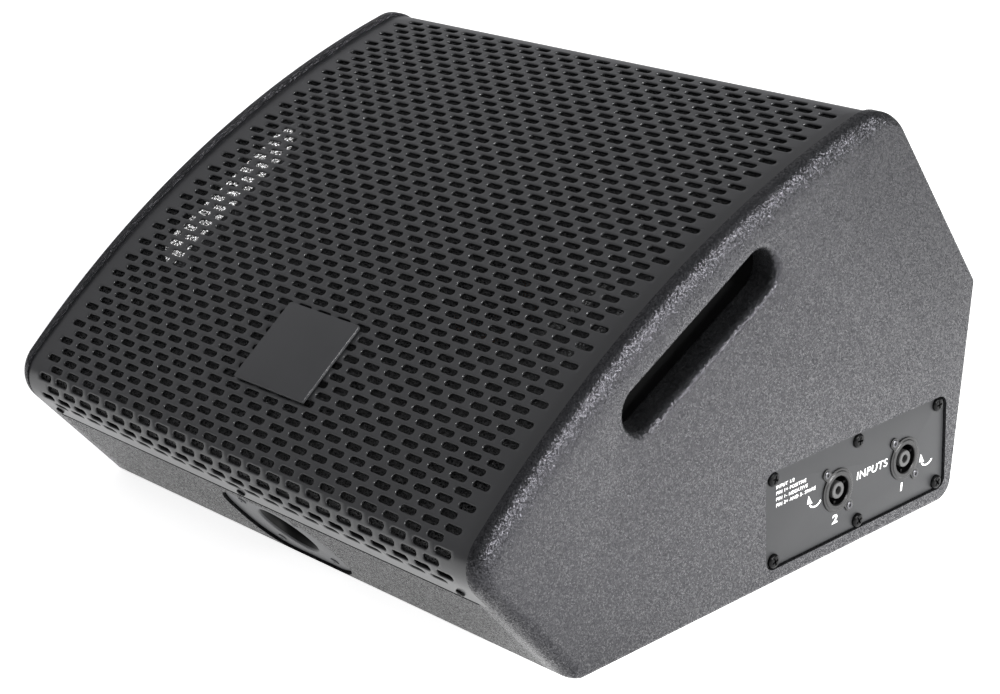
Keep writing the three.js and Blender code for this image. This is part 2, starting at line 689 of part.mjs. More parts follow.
function poleCup() {
  const plate = roundedPlate(
    POLE_PLATE.x, POLE_PLATE.y, POLE_PLATE_ROUND, 0.1, POLE_PLATE_THICK);
  const cup = rod(POLE_BORE + POLE_WALL, -POLE_DEPTH, POLE_PLATE_THICK, ROUND_STEPS);
  const hollow = turned([
    [0, -POLE_DEPTH + POLE_WALL], [POLE_BORE, -POLE_DEPTH + POLE_WALL], [POLE_BORE, -3],
    [POLE_BORE + 0.9, 0.2], [POLE_MOUTH, POLE_PLATE_THICK], [POLE_MOUTH, 4], [0, 4]]);
  const holes = fourCorners(POLE_SCREW.x, POLE_SCREW.y).map(([x, y]) => rod(
    2.1, -1, 4, 8).translate(x, y, 0));
  return at(poleFrame, cut(join([plate, cup]), [hollow, ...holes]));
}

// ---- Assembly ---------------------------------------------------------------------------------

const paint = { color: 0x2a2b2d, roughness: 0.75, metalness: 0 };
const ply = { color: 0x8a6a44, roughness: 0.8, metalness: 0 };
const blackMetal = { color: 0x303034, roughness: 0.5, metalness: 0.3 };
const greyMetal = { color: 0x4c4d51, roughness: 0.5, metalness: 0.3 };
const blackScrew = { color: 0x17171a, roughness: 0.4, metalness: 0.6 };
const steel = { color: 0xa5a8ac, roughness: 0.35, metalness: 1 };
const ferrite = { color: 0x3a3a3c, roughness: 0.9, metalness: 0 };
const blackPlastic = { color: 0x1d1d1f, roughness: 0.45, metalness: 0 };
const paper = { color: 0x222224, roughness: 0.95, metalness: 0 };
const rubber = { color: 0x19191a, roughness: 0.7, metalness: 0 };
const cloth = { color: 0xb08a4a, roughness: 0.95, metalness: 0 };
const alloy = { color: 0x8e9196, roughness: 0.4, metalness: 1 };
const copper = { color: 0xb56a38, roughness: 0.35, metalness: 1 };
const foam = { color: 0x141415, roughness: 1, metalness: 0 };
const laminate = { color: 0x2f5a3a, roughness: 0.6, metalness: 0 };
const film = { color: 0xd8c36a, roughness: 0.4, metalness: 0 };

const wedge = new THREE.Group();

function add(name, geometry, material) {
  const mesh = new THREE.Mesh(
    closed(geometry).translate(0, -centreY, 0), new THREE.MeshStandardMaterial(material));
  mesh.geometry.computeVertexNormals();
  mesh.name = name;
  wedge.add(mesh);
}

const addEach = (name, frames, build, material) => frames.forEach((frame, i) => add(
  `${name}_${i + 1}`, build(frame), material));

add('side_panel_left', leftSidePanel(), paint);
add('side_panel_right', rightSidePanel(), paint);
add('base_panel', basePanel(), paint);
add('back_panel', backPanel(), paint);
add('back_slope_panel', slopePanel(), paint);
add('lower_front_panel', lowerPanel(), paint);
add('baffle', bafflePanel(), ply);
add('grille', grilleSheet(), blackMetal);
add('grille_foam', grilleFoam(), foam);
add('badge_plate', badgePlate(), blackPlastic);
addEach('grille_screw', grilleScrewFrames, (frame) => at(frame, screw(2.6, 1.2, 1.6, 9)), blackScrew);
add('input_plate', inputPlate(), blackMetal);
addEach('input_plate_screw', plateScrewFrames, (frame) => at(
  frame, screw(3.6, PLATE_RECESS, 1.7, 11)), blackScrew);
addEach('speaker_socket', socketFrames, speakerSocket, blackPlastic);
addEach('socket_rivet', rivetFrames, rivet, blackScrew);
add('pole_cup', poleCup(), greyMetal);
addEach('pole_cup_screw', poleScrewFrames, (frame) => at(
  frame, screw(2.8, 0.7, 1.8, 9)), greyMetal);
add('driver_basket', basket(), blackMetal);
add('driver_top_plate', topPlate(), steel);
add('driver_magnet', ferriteMagnet(), ferrite);
add('driver_back_plate', backPlate(), steel);
add('voice_coil', voiceCoil(), copper);
add('cone', cone(), paper);
add('surround', surround(), rubber);
add('spider', spider(), cloth);
add('horn_flare', hornFlare(), blackPlastic);
add('horn_driver', hornDriver(), alloy);
addEach('driver_screw', driverScrewFrames, (frame) => at(frame, screw(4, 2.4, 1.8, 13)), blackScrew);
addEach('port_tube', portFrames, portTube, blackPlastic);
add('crossover_board', crossoverBoard(), laminate);
add('inductor_1', inductor(-50, 6, 20, 18), copper);
add('inductor_2', inductor(-6, 6, 17, 14), copper);
add('capacitor_1', capacitor(42, 14, 9, 40), film);
add('capacitor_2', capacitor(42, -10, 7, 34), film);
add('socket_cable', socketCable(), rubber);
add('woofer_cable', wooferCable(), rubber);
add('horn_cable', hornCable(), rubber);

export default wedge;
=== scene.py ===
"""Looks for the stage monitor wedge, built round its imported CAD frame.

Lengths are in millimetres until a mesh is made, and the side view is drawn in (y, z) from the
front bottom corner, the foot, as in the CAD program.
"""

import math

import bmesh
import bpy
from mathutils import Matrix, Vector


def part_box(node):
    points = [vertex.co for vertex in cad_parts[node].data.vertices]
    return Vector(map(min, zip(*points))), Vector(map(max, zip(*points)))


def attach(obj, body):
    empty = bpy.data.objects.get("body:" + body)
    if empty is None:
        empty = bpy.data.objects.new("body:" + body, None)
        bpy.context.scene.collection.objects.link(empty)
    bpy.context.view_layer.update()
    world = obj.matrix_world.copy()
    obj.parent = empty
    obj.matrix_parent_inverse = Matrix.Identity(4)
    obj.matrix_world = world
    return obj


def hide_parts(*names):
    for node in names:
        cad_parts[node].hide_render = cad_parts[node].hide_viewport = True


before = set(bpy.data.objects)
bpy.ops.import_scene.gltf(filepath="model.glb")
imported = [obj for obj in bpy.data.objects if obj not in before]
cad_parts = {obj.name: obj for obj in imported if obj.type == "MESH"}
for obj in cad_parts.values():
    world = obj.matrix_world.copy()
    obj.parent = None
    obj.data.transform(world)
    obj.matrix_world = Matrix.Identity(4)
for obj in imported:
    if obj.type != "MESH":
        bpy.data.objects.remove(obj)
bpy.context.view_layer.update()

MM = 0.001
ROUNDING = 1e-6
CABINET = "cabinet"

# Side view of the cabinet: lengths and headings of its straight sides, and its roundings.
BASE_LENGTH = 305
BACK_LENGTH = 128.9
BACK_HEADING = 82
SLOPE_LENGTH = 143.1
SLOPE_HEADING = 123.5
LOWER_LENGTH = 105.1
LOWER_HEADING = 129.5
FRONT_RADIUS = 640
FOOT_ROUND = 12
HEEL_ROUND = 13
SHOULDER_ROUND = 4
CREST_ROUND = 27
LIP_ROUND = 20
SIDE_BOARD = 18
BOARD = 12

# Where the 12 mm boards beside the grille end: up the lower face from the foot, and down the
# back slope from the crest.
LOWER_BOARD_END = 86
SLOPE_BOARD_END = 23

# The grille's front: it meets the same lower face and back slope a little nearer their far ends.
GRILLE_LOWER_LENGTH = 103.7
GRILLE_SLOPE_LENGTH = 140.2
GRILLE_RADIUS = 664
GRILLE_CREST_ROUND = 25
GRILLE_LIP_ROUND = 18.5

# Side panel edge softening: reach across the edge, and reach down the side.
FRONT_EDGE = Vector((7, 15))
LOWER_EDGE = Vector((10, 9))
PLAIN_EDGE = Vector((3, 3))

# Hand slot
SLOT_CENTRE = Vector((95.9, 154.9))
SLOT_LENGTH = 124.5
SLOT_WIDTH = 24.5
SLOT_HEADING = 28.3
SLOT_RIM = 4.5
SLOT_INNER_RIM = 2.5

# Grille. The lower flange is measured up from the foot, the upper one down from the crest.
SHEET = 1.5
REBATE = 2.6
LOWER_FLANGE_START = 71.4
UPPER_FLANGE_END = 40
FLANGE_GAP = 2.0
HOLE_PITCH = 16.5
ROW_PITCH = 6.284
HOLE_LENGTH = 11.8
HOLE_WIDTH = 3.9
ROW_ZERO_ANGLE = 115.21
LOWEST_ROW = -35
HIGHEST_ROW = 21
HOLES_ACROSS = 22
FOAM = 3
FOAM_DEPTH = 1.8
BADGE_WIDTH = 59
BADGE_HEIGHT = 52
BADGE_FROM_LIP = 75.8

# Input plate, with the window behind it and the sockets through it
PLATE_CENTRE_Y = 221.2
PLATE_LENGTH = 153.6
PLATE_HEIGHT = 55.4
PLATE_ROUND = 6
PLATE_SHEET = 1.6
PLATE_RECESS = 1.5
WINDOW = (98, 34)
WINDOW_ROUND = 3
SOCKETS = [Vector((262.7, 37.1)), Vector((204.3, 37.1))]
SOCKET_RADIUS = 12
SOCKET_FLANGE = 12.6
SOCKET_DEPTH = 28
SLOT_DEPTH = 15
BORE_RADIUS = 8.4
POST_RADIUS = 4.9
POST_HOLLOW = 2.3
RIVET = (9.5, -12)
RIVET_EAR = 3.3

# Screws: along the grille's flanges, and over the input plate from its middle
LOWER_SCREW_AT = 77.9
LOWER_SCREWS_X = (-175, 0, 175)
UPPER_SCREW_AT = 31
UPPER_SCREWS_X = (-120, 120)
PLATE_SCREW_STEP = 70.6
PLATE_SCREW_RISE = 23.9

# Printing on the input plate, placed from its middle: heading, digits, pin legend and arrows
PRINT_LIFT = 0.04
HEADING_AT = (12.9, 2.1)
HEADING_SIZE = 6.6
DIGIT_SIZE = 7.0
DIGIT_LEFT = 2.1
DIGIT_BELOW = 17.1
LEGEND_AT = (-68, 17.8)
LEGEND_SIZE = 2.8
LEGEND_STEP = 3.5
ARROWS_AT = {2: (-35.6, 0.3), 1: (62.4, -6.6)}
ARROW_RADII = (3.6, 4.5)

# Pole mount, let into the lower front board
POLE_UP = 34.2
POLE_RECESS = 3.7
POLE_PLATE = (86, 60)
POLE_PLATE_ROUND = 25
POLE_THICK = 2
POLE_MOUTH = 21.5
POLE_BORE = 18.5
POLE_WALL = 2
POLE_DEPTH = 48
POLE_SCREW = (23, 20)

# Camera: where it stands, in metres, and how it is turned, in degrees.
CAMERA_AT = Vector((0.94307, -0.84433, 0.56518))
CAMERA_AZIMUTH = 47.851
CAMERA_ELEVATION = 20.525
CAMERA_ROLL = -2.350
CAMERA_LENS = 84.225

# Where the soft light in the sky lies, as a direction.
SKY_LIGHT_TOWARD = (-0.69, 0.07, 0.72)

# The painted pool of light on the table, where it glows brightest: its middle and its reach, in
# metres.
PAINTED_POOL_CENTRE = (0.5, 0.12, 0.0)
PAINTED_POOL_RADIUS = 0.6

plate_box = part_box("input_plate")
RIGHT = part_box("side_panel_right")[1][0] / MM
INSIDE = RIGHT - SIDE_BOARD
GRILLE_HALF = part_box("grille")[1][0] / MM
ORIGIN_Y = PLATE_CENTRE_Y - (plate_box[0][1] + plate_box[1][1]) / 2 / MM


# ---- Camera, floor and light


def add_camera():
    data = bpy.data.cameras.new("camera")
    data.lens = CAMERA_LENS
    data.clip_end = 100
    camera = bpy.data.objects.new("camera", data)
    bpy.context.collection.objects.link(camera)
    turn = Matrix.Rotation(math.radians(CAMERA_AZIMUTH), 4, "Z")
    tilt = Matrix.Rotation(math.radians(90 - CAMERA_ELEVATION), 4, "X")
    roll = Matrix.Rotation(math.radians(CAMERA_ROLL), 4, "Z")
    camera.matrix_world = Matrix.Translation(CAMERA_AT) @ turn @ tilt @ roll
    bpy.context.scene.camera = camera


def add_light(name, position, target, size, power):
    """A rectangular lamp: places and sizes in metres, power in watts."""
    data = bpy.data.lights.new(name, "AREA")
    data.shape = "RECTANGLE"
    data.size, data.size_y = size
    data.energy = power
    lamp = bpy.data.objects.new(name, data)
    bpy.context.collection.objects.link(lamp)
    lamp.location = position
    lamp.rotation_euler = (Vector(target) - Vector(position)).to_track_quat("-Z", "Y").to_euler()


def light_sky(tree):
    """A dark room with a wide soft light high on the left."""
    where = tree.nodes.new("ShaderNodeTexCoord").outputs["Generated"]
    facing = tree.nodes.new("ShaderNodeVectorMath")
    facing.operation = "DOT_PRODUCT"
    facing.inputs[1].default_value = SKY_LIGHT_TOWARD
    tree.links.new(where, facing.inputs[0])
    ramp = tree.nodes.new("ShaderNodeValToRGB")
    dark, bright = ramp.color_ramp.elements
    dark.position, dark.color = 0.1, (0.07, 0.07, 0.07, 1)
    bright.position, bright.color = 0.8, (0.56, 0.56, 0.58, 1)
    tree.links.new(facing.outputs["Value"], ramp.inputs["Fac"])
    tree.links.new(ramp.outputs["Color"], tree.nodes["Background"].inputs["Color"])


def add_studio():
    scene = bpy.context.scene
    scene.view_settings.view_transform = "Standard"
    world = bpy.data.worlds.new("studio")
    scene.world = world
    world.use_nodes = True
    light_sky(world.node_tree)
    add_light("key", (1.2, -1.6, 2.2), target=(0, 0, 0.1), size=(1.2, 0.8), power=8)
    add_light("strip", (1.69, 0.3, 0.68), target=(0.2, 0, 0.12), size=(1.2, 0.12), power=75)
    bpy.ops.mesh.primitive_plane_add(size=12)
    floor = bpy.context.object
    floor.name = "floor"
    floor.data.materials.append(plain_floor())


# ---- Materials


class Shader:
    """A material under construction: its nodes, and short ways to add and join them."""

    def __init__(self, name):
        self.material = bpy.data.materials.new(name)
        self.material.use_nodes = True
        self.tree = self.material.node_tree
        self.surface = self.tree.nodes["Principled BSDF"]

    def node(self, kind, inputs=None, **settings):
        made = self.tree.nodes.new(kind)
        for key, value in settings.items():
            setattr(made, key, value)
        for key, value in (inputs or {}).items():
            self.feed(value, made.inputs[key])
        return made

    def feed(self, value, socket):
        if isinstance(value, bpy.types.NodeSocket):
            self.tree.links.new(value, socket)
        else:
            socket.default_value = value

    def finish(self, **inputs):
        """Feeds the surface's sockets and gives the finished material."""
        for key, value in inputs.items():
            self.feed(value, self.surface.inputs[key.replace("_", " ")])
        return self.material

    def place(self, stretch=(1, 1, 1)):
        """Object coordinates in millimetres."""
        where = self.node("ShaderNodeTexCoord").outputs["Object"]
        scale = tuple(axis / MM for axis in stretch)
        return self.node("ShaderNodeMapping", {"Vector": where, "Scale": scale}).outputs["Vector"]

    def noise(self, place, grain, detail=3.0, rough=0.55):
        """Noise with features of about grain millimetres."""
        values = {"Vector": place, "Scale": 1 / grain, "Detail": detail, "Roughness": rough}
        return self.node("ShaderNodeTexNoise", values).outputs["Fac"]

    def walls(self, place, grain):
        """Distance from the walls between cells about grain millimetres wide."""
        values = {"Vector": place, "Scale": 1 / grain}
        made = self.node("ShaderNodeTexVoronoi", values, feature="DISTANCE_TO_EDGE")
        return made.outputs["Distance"]

    def ramp(self, factor, *stops):
        made = self.node("ShaderNodeValToRGB", {"Fac": factor})
        elements = made.color_ramp.elements
        while len(elements) < len(stops):
            elements.new(0.5)
        for element, (position, colour) in zip(elements, stops):
            element.position = position
            element.color = colour if isinstance(colour, tuple) else (colour, colour, colour, 1)
        return made.outputs["Color"]

    def multiply(self, a, b):
        """Two colours multiplied."""
        made = self.node("ShaderNodeMix", {"Factor": 1.0}, data_type="RGBA", blend_type="MULTIPLY")
        self.feed(a, made.inputs["A"])
        self.feed(b, made.inputs["B"])
        return made.outputs["Result"]

    def tilted(self, place, grain, amount):
        """The surface normal, leaning its own way in every cell about grain millimetres wide."""
        cell = self.node("ShaderNodeTexVoronoi", {"Vector": place, "Scale": 1 / grain})
        lean = self.node(
            "ShaderNodeVectorMath",
            {0: cell.outputs["Color"], 1: (amount,) * 3, 2: (-amount / 2,) * 3},
            operation="MULTIPLY_ADD",
        )
        upright = self.node("ShaderNodeNewGeometry").outputs["Normal"]
        total = self.node(
            "ShaderNodeVectorMath", {0: upright, 1: lean.outputs["Vector"]}, operation="ADD")
        unit = self.node(
            "ShaderNodeVectorMath", {0: total.outputs["Vector"]}, operation="NORMALIZE")
        return unit.outputs["Vector"]

    def bump(self, height, distance, strength=1.0, normal=None):
        values = {"Height": height, "Distance": distance * MM, "Strength": strength}
        if normal is not None:
            values["Normal"] = normal
        return self.node("ShaderNodeBump", values).outputs["Normal"]


def grey(level, tint=0.0):
    """A neutral colour, with a little blue for a positive tint."""
    return (level, level * (1 + tint * 0.3), level * (1 + tint), 1)


def plain_floor():
    """A white table that glows as if lit from below, with painted light: brightest in a painted
    pool of light beside the object's right side.
    """
    shader = Shader("floor")
    soft = shader.noise(shader.place(), 400, 2.0)
    colour = shader.ramp(soft, (0.3, 0.86), (0.7, 0.9))
    where = shader.node("ShaderNodeTexCoord").outputs["Object"]
    painted_pool = shader.node("ShaderNodeMapping", {
        "Vector": where,
        "Location": tuple(-axis / PAINTED_POOL_RADIUS for axis in PAINTED_POOL_CENTRE),
        "Scale": (1 / PAINTED_POOL_RADIUS,) * 3,
    }).outputs["Vector"]
    inside = shader.node("ShaderNodeTexGradient", {"Vector": painted_pool}, gradient_type="SPHERICAL")
    # Painted light: the table's own glow, strongest inside the pool.
    painted_glow = shader.ramp(
        inside.outputs["Fac"], (0.0, 0.95), (0.25, 1.05), (0.45, 3.0), (0.65, 3.8))
    return shader.finish(
        Base_Color=colour, Roughness=0.9, Emission_Color=colour, Emission_Strength=painted_glow)


def textured_paint(name, shine):
    """Coarse sprayed black paint: grains under a millimetre wide, each with a tilted shiny top."""
    shader = Shader(name)
    place = shader.place()
    grit = shader.noise(place, 0.6, 3.0, 0.6)
    drift = shader.noise(place, 70, 2.0)
    speck = shader.ramp(
        grit, (0.35, grey(0.002, 0.12)), (0.5, grey(0.008, 0.12)), (0.68, grey(0.03, 0.06)))
    tone = shader.ramp(drift, (0.3, 0.85), (0.7, 1.0))
    return shader.finish(
        Base_Color=shader.multiply(speck, tone),
        Roughness=shader.ramp(grit, (0.35, 0.34), (0.65, 0.2)),
        Specular_IOR_Level=shader.ramp(grit, (0.35, 0.15 * shine), (0.65, shine)),
        Specular_Tint=(0.92, 0.9, 1.0, 1.0),
        Normal=shader.bump(grit, 0.25, 0.6, shader.tilted(place, 0.8, 0.4)),
    )


def open_foam():
    """Reticulated foam: a net of thin shiny strands with open cells between them."""
    shader = Shader("open_foam")
    place = shader.place()
    strand = shader.ramp(shader.walls(place, 1.7), (0.09, 1.0), (0.12, 0.0))
    fleck = shader.noise(place, 0.6, 2.0)
    colour = shader.ramp(fleck, (0.45, grey(0.003, 0.1)), (0.7, grey(0.05, 0.05)))
    return shader.finish(
        Base_Color=colour,
        Alpha=strand,
        Roughness=shader.ramp(fleck, (0.4, 0.6), (0.65, 0.2)),
        Normal=shader.bump(fleck, 0.9, 1.0),
    )


def powder_coat(name, level, rough, grain=0.8, relief=0.05, shine=0.5):
    """Satin powder coat: fine orange peel and slow changes of gloss."""
    shader = Shader(name)
    place = shader.place()
    peel = shader.noise(place, grain, 2.0)
    smear = shader.noise(place, 35, 3.0)
    colour = shader.ramp(smear, (0.3, grey(level * 0.9, 0.08)), (0.7, grey(level * 1.1, 0.08)))
    gloss = shader.ramp(smear, (0.3, rough * 0.92), (0.7, rough * 1.08))
    return shader.finish(
        Base_Color=colour,
        Roughness=gloss,
        Specular_IOR_Level=shine,
        Normal=shader.bump(peel, relief, 0.8),
    )


def moulded_plastic(name, level, rough, shine=0.5):
    shader = Shader(name)
    place = shader.place()
    grain = shader.noise(place, 0.35, 2.0)
    smear = shader.noise(place, 12, 2.0)
    colour = shader.ramp(smear, (0.3, grey(level * 0.85)), (0.7, grey(level * 1.15)))
    gloss = shader.ramp(grain, (0.3, rough * 0.85), (0.7, rough * 1.15))
    return shader.finish(
        Base_Color=colour,
        Roughness=gloss,
        Specular_IOR_Level=shine,
        Normal=shader.bump(grain, 0.02, 0.6),
    )


def bare_metal(name, colour, rough):
    """Machined or cast metal with a drawn grain."""
    shader = Shader(name)
    streaks = shader.noise(shader.place((1, 1, 8)), 3.0, 4.0)
    gloss = shader.ramp(streaks, (0.3, rough * 0.8), (0.7, rough * 1.2))
    tone = shader.ramp(
        streaks,
        (0.3, tuple(channel * 0.85 for channel in colour) + (1,)),
        (0.7, tuple(colour) + (1,)),
    )
    relief = shader.bump(streaks, 0.03)
    return shader.finish(Base_Color=tone, Roughness=gloss, Metallic=1.0, Normal=relief)


def fibrous(name, dark, light, grain=1.6, relief=0.15):
    """Pressed paper or cloth: matted fibres."""
    shader = Shader(name)
    place = shader.place()
    fibres = shader.noise(place, grain, 6.0, 0.7)
    colour = shader.ramp(fibres, (0.3, tuple(dark) + (1,)), (0.7, tuple(light) + (1,)))
    return shader.finish(Base_Color=colour, Roughness=0.9, Normal=shader.bump(fibres, relief, 0.9))


def soft_rubber(name, level):
    shader = Shader(name)
    skin = shader.noise(shader.place(), 1.2, 4.0)
    gloss = shader.ramp(skin, (0.3, 0.5), (0.7, 0.72))
    tone = shader.ramp(skin, (0.3, grey(level * 0.8)), (0.7, grey(level * 1.2)))
    return shader.finish(Base_Color=tone, Roughness=gloss, Normal=shader.bump(skin, 0.04, 0.7))


def wound_copper():
    """Copper wire wound in turns about the upright axis, with painted highlight on the turns and
    painted shade in the grooves between them.
    """
    shader = Shader("wound_copper")
    turns = shader.node(
        "ShaderNodeTexWave",
        {"Vector": shader.place(), "Scale": 0.9, "Distortion": 0.2},
        bands_direction="Z",
    ).outputs["Fac"]
    # Painted highlight and shade: the colour is lighter where the relief is high and darker in the
    # grooves between turns.
    colour = shader.ramp(turns, (0.2, (0.25, 0.09, 0.03, 1)), (0.8, (0.8, 0.38, 0.18, 1)))
    relief = shader.bump(turns, 0.3)
    return shader.finish(Base_Color=colour, Roughness=0.35, Metallic=0.9, Normal=relief)


def screen_print():
    """White ink with a little of the coat showing through."""
    shader = Shader("screen_print")
    wear = shader.noise(shader.place(), 0.5, 4.0)
    return shader.finish(Base_Color=shader.ramp(wear, (0.25, 0.5), (0.5, 0.78)), Roughness=0.6)


# In order, as far as a material takes them: brightness or colour, roughness, grain and relief in
# millimetres, and shine.
MATERIALS = {
    "paint": textured_paint("textured_paint", 0.36),
    # A duller copy of the same paint, with less shine, so that the lower front board shows darker:
    # painted shade.
    "front_paint_painted_shade": textured_paint("front_paint_painted_shade", 0.12),
    "baffle": powder_coat("baffle_paint", 0.004, 0.8, 1.2, 0.2),
    "grille": powder_coat("grille_coat", 0.023, 0.3, 0.9, 0.04),
    "foam": open_foam(),
    "badge": powder_coat("badge_coat", 0.03, 0.35, 0.5, 0.02),
    "plate": powder_coat("plate_coat", 0.018, 0.42, 0.7, 0.04, 0.14),
    "pole": powder_coat("pole_coat", 0.07, 0.4, 0.9, 0.14, 0.4),
    # A much darker copy of the pole coat for the cup's tube: painted shade in the deep bore.
    "pole_painted_shade": powder_coat("pole_coat_painted_shade", 0.004, 0.35, 0.9, 0.05, 0.3),
    "fixing": powder_coat("fixing_black", 0.003, 0.22, 0.5, 0.03, 0.05),
    "socket": moulded_plastic("socket_plastic", 0.002, 0.4, 0.1),
    "socket_face": moulded_plastic("socket_face", 0.01, 0.3, 0.15),
    "socket_post": moulded_plastic("socket_post", 0.035, 0.32, 0.2),
    "steel_dark": bare_metal("rivet_metal", (0.07, 0.07, 0.075), 0.35),
    "plastic": moulded_plastic("port_plastic", 0.015, 0.5),
    "basket": powder_coat("basket_paint", 0.015, 0.5, 1.0, 0.08),
    "steel": bare_metal("zinc_steel", (0.55, 0.55, 0.56), 0.35),
    "alloy": bare_metal("cast_alloy", (0.6, 0.6, 0.62), 0.45),
    "ferrite": powder_coat("ferrite_grey", 0.04, 0.7, 0.8, 0.1),
    "copper": wound_copper(),
    "paper": fibrous("cone_paper", (0.008, 0.008, 0.009), (0.03, 0.03, 0.032)),
    "cloth": fibrous("spider_cloth", (0.3, 0.17, 0.06), (0.62, 0.42, 0.2), 0.8, 0.2),
    "rubber": soft_rubber("surround_rubber", 0.014),
    "cable": soft_rubber("cable_sheath", 0.012),
    "laminate": powder_coat("board_laminate", 0.03, 0.4, 0.9, 0.03),
    "film": moulded_plastic("capacitor_film", 0.5, 0.3),
    "print": screen_print(),
}


# ---- Meshes


# Faces that meet at less than this many degrees are shaded as one smooth surface.
SHARP_ANGLE = 32


def placed(points):
    """Points in millimetres, with y and z from the foot, as metres in the object's frame."""
    return [Vector((x, y - ORIGIN_Y, z)) * MM for x, y, z in points]


def add_mesh(name, points, faces, material, sharp=SHARP_ANGLE, local=None):
    """A shaded mesh. Points that are given in a frame of their own come with it, as local."""
    corners = [local @ Vector(point) for point in points] if local else points
    mesh = bpy.data.meshes.new(name)
    mesh.from_pydata(placed(corners), [], faces)
    obj = bpy.data.objects.new(name, mesh)
    bpy.context.collection.objects.link(obj)
    finish_mesh(obj, material, sharp)
    return obj


def finish_mesh(obj, material, sharp=SHARP_ANGLE):
    work = bmesh.new()
    work.from_mesh(obj.data)
    bmesh.ops.remove_doubles(work, verts=work.verts, dist=1e-7)
    bmesh.ops.recalc_face_normals(work, faces=work.faces)
    work.to_mesh(obj.data)
    work.free()
    obj.data.materials.clear()
    obj.data.materials.append(MATERIALS[material])
    obj.data.shade_smooth()
    obj.data.set_sharp_from_angle(angle=math.radians(sharp))


def belongs(obj, slot, *nodes):
    """Fixes a piece to the cabinet, and lets it stand for its CAD nodes."""
    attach(obj, CABINET)
    if nodes:
        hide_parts(*nodes)


def bake(obj):
    """Applies an object's modifiers."""
    graph = bpy.context.evaluated_depsgraph_get()
    mesh = bpy.data.meshes.new_from_object(obj.evaluated_get(graph))
    old = obj.data
    obj.modifiers.clear()
    obj.data = mesh
    mesh.name = obj.name
    bpy.data.meshes.remove(old)


def carve(obj, tools, material):
    """Cuts the tools out of obj and removes them."""
    for tool in tools:
        modifier = obj.modifiers.new("cut", "BOOLEAN")
        modifier.operation = "DIFFERENCE"
        modifier.solver = "EXACT"
        modifier.object = tool
        bake(obj)
        bpy.data.objects.remove(tool)
    finish_mesh(obj, material)


def loft(loops, caps=True):
    """Points and faces of a skin through loops of equal length."""
    count = len(loops[0])
    points = [point for loop in loops for point in loop]
    faces = []
    for ring in range(len(loops) - 1):
        for i in range(count):
            a = ring * count + i
            b = ring * count + (i + 1) % count
            faces.append((a, b, b + count, a + count))
    if caps:
        faces.append(tuple(reversed(range(count))))
        faces.append(tuple(range((len(loops) - 1) * count, len(loops) * count)))
    return points, faces


def turned(name, profile, material, local, steps=64, ring=False):
    """A turned piece about local Z. A ring's profile closes on itself, others meet the axis."""
    loops = []
    for radius, height in profile + profile[:1] if ring else profile:
        angles = (2 * math.pi * i / steps for i in range(steps))
        loops.append([(radius * math.cos(a), radius * math.sin(a), height) for a in angles])
    points, faces = loft(loops, caps=False)
    return add_mesh(name, points, faces, material, local=local)


def disc(radius, low, high, material, local):
    """A round bar or disc, also used as a cutting tool."""
    return turned("disc", [(0, low), (radius, low), (radius, high), (0, high)], material, local)


def prism(name, outline, from_x, to_x, material):
    """A side-view outline carried straight across."""
    loops = [[(x, y, z) for y, z in outline] for x in (from_x, to_x)]
    points, faces = loft(loops)
    return add_mesh(name, points, faces, material)


def rounded_rectangle(width, height, radius, steps=8):
    points = []
    for quarter, (across, up) in enumerate(((1, 1), (-1, 1), (-1, -1), (1, -1))):
        for i in range(steps + 1):
            angle = math.pi / 2 * (quarter + i / steps)
            points.append((
                across * (width / 2 - radius) + radius * math.cos(angle),
                up * (height / 2 - radius) + radius * math.sin(angle),
            ))
    return points


def plate(name, outline, low, high, material, local, soft=0.0):
    """A flat piece between two heights in its frame, with its edges rounded by soft."""
    loops = [[(x, y, z) for x, y in outline] for z in (low, high)]
    points, faces = loft(loops)
    obj = add_mesh(name, points, faces, material, local=local)
    if soft:
        modifier = obj.modifiers.new("edge", "BEVEL")
        modifier.width = soft * MM
        modifier.segments = 3
        modifier.limit_method = "ANGLE"
        modifier.angle_limit = math.radians(30)
        bake(obj)
        finish_mesh(obj, material)
    return obj


# ---- Side view


def toward(angle):
    return Vector((math.cos(angle), math.sin(angle)))


def headed(degrees):
    return toward(math.radians(degrees))


class Side:
    """A straight side of the cabinet: a point on it, its direction and its outward normal."""

    def __init__(self, start, heading):
        self.start = start
        self.direction = headed(heading)
        self.angle = math.radians(heading - 90)
        self.normal = toward(self.angle)


def in_corner(first, second, depth):
    """The point at one depth inside two sides."""
    a, b = first.normal, second.normal
    on_a = a.dot(first.start) - depth
    on_b = b.dot(second.start) - depth
    scale = a.x * b.y - a.y * b.x
    return Vector(((on_a * b.y - on_b * a.y) / scale, (a.x * on_b - b.x * on_a) / scale))


FOOT = Vector((0, 0))
HEEL = Vector((BASE_LENGTH, 0))
SHOULDER = HEEL + BACK_LENGTH * headed(BACK_HEADING)
CREST = SHOULDER + SLOPE_LENGTH * headed(SLOPE_HEADING)
BASE = Side(FOOT, 0)
BACK = Side(HEEL, BACK_HEADING)
SLOPE = Side(SHOULDER, SLOPE_HEADING)
LOWER = Side(FOOT, LOWER_HEADING - 180)


def rounding_at_front(centre, front_radius, side, radius):
    """The centre of a rounding between a front arc and a straight side."""
    on_line = side.start - radius * side.normal
    offset = on_line - centre
    middle = offset.dot(side.direction)
    reach = (front_radius - radius) ** 2 - offset.length_squared + middle**2
    return on_line + side.direction * (math.copysign(math.sqrt(reach), side.direction.y) - middle)


def arc(centre, radius, from_angle, to_angle, steps, from_edge, to_edge):
    """Points round an arc, each with its outward normal and its edge softening."""
    samples = []
    for i in range(steps + 1):
        share = i / steps
        normal = toward(from_angle + (to_angle - from_angle) * share)
        samples.append((centre + radius * normal, normal, from_edge.lerp(to_edge, share)))
    return samples


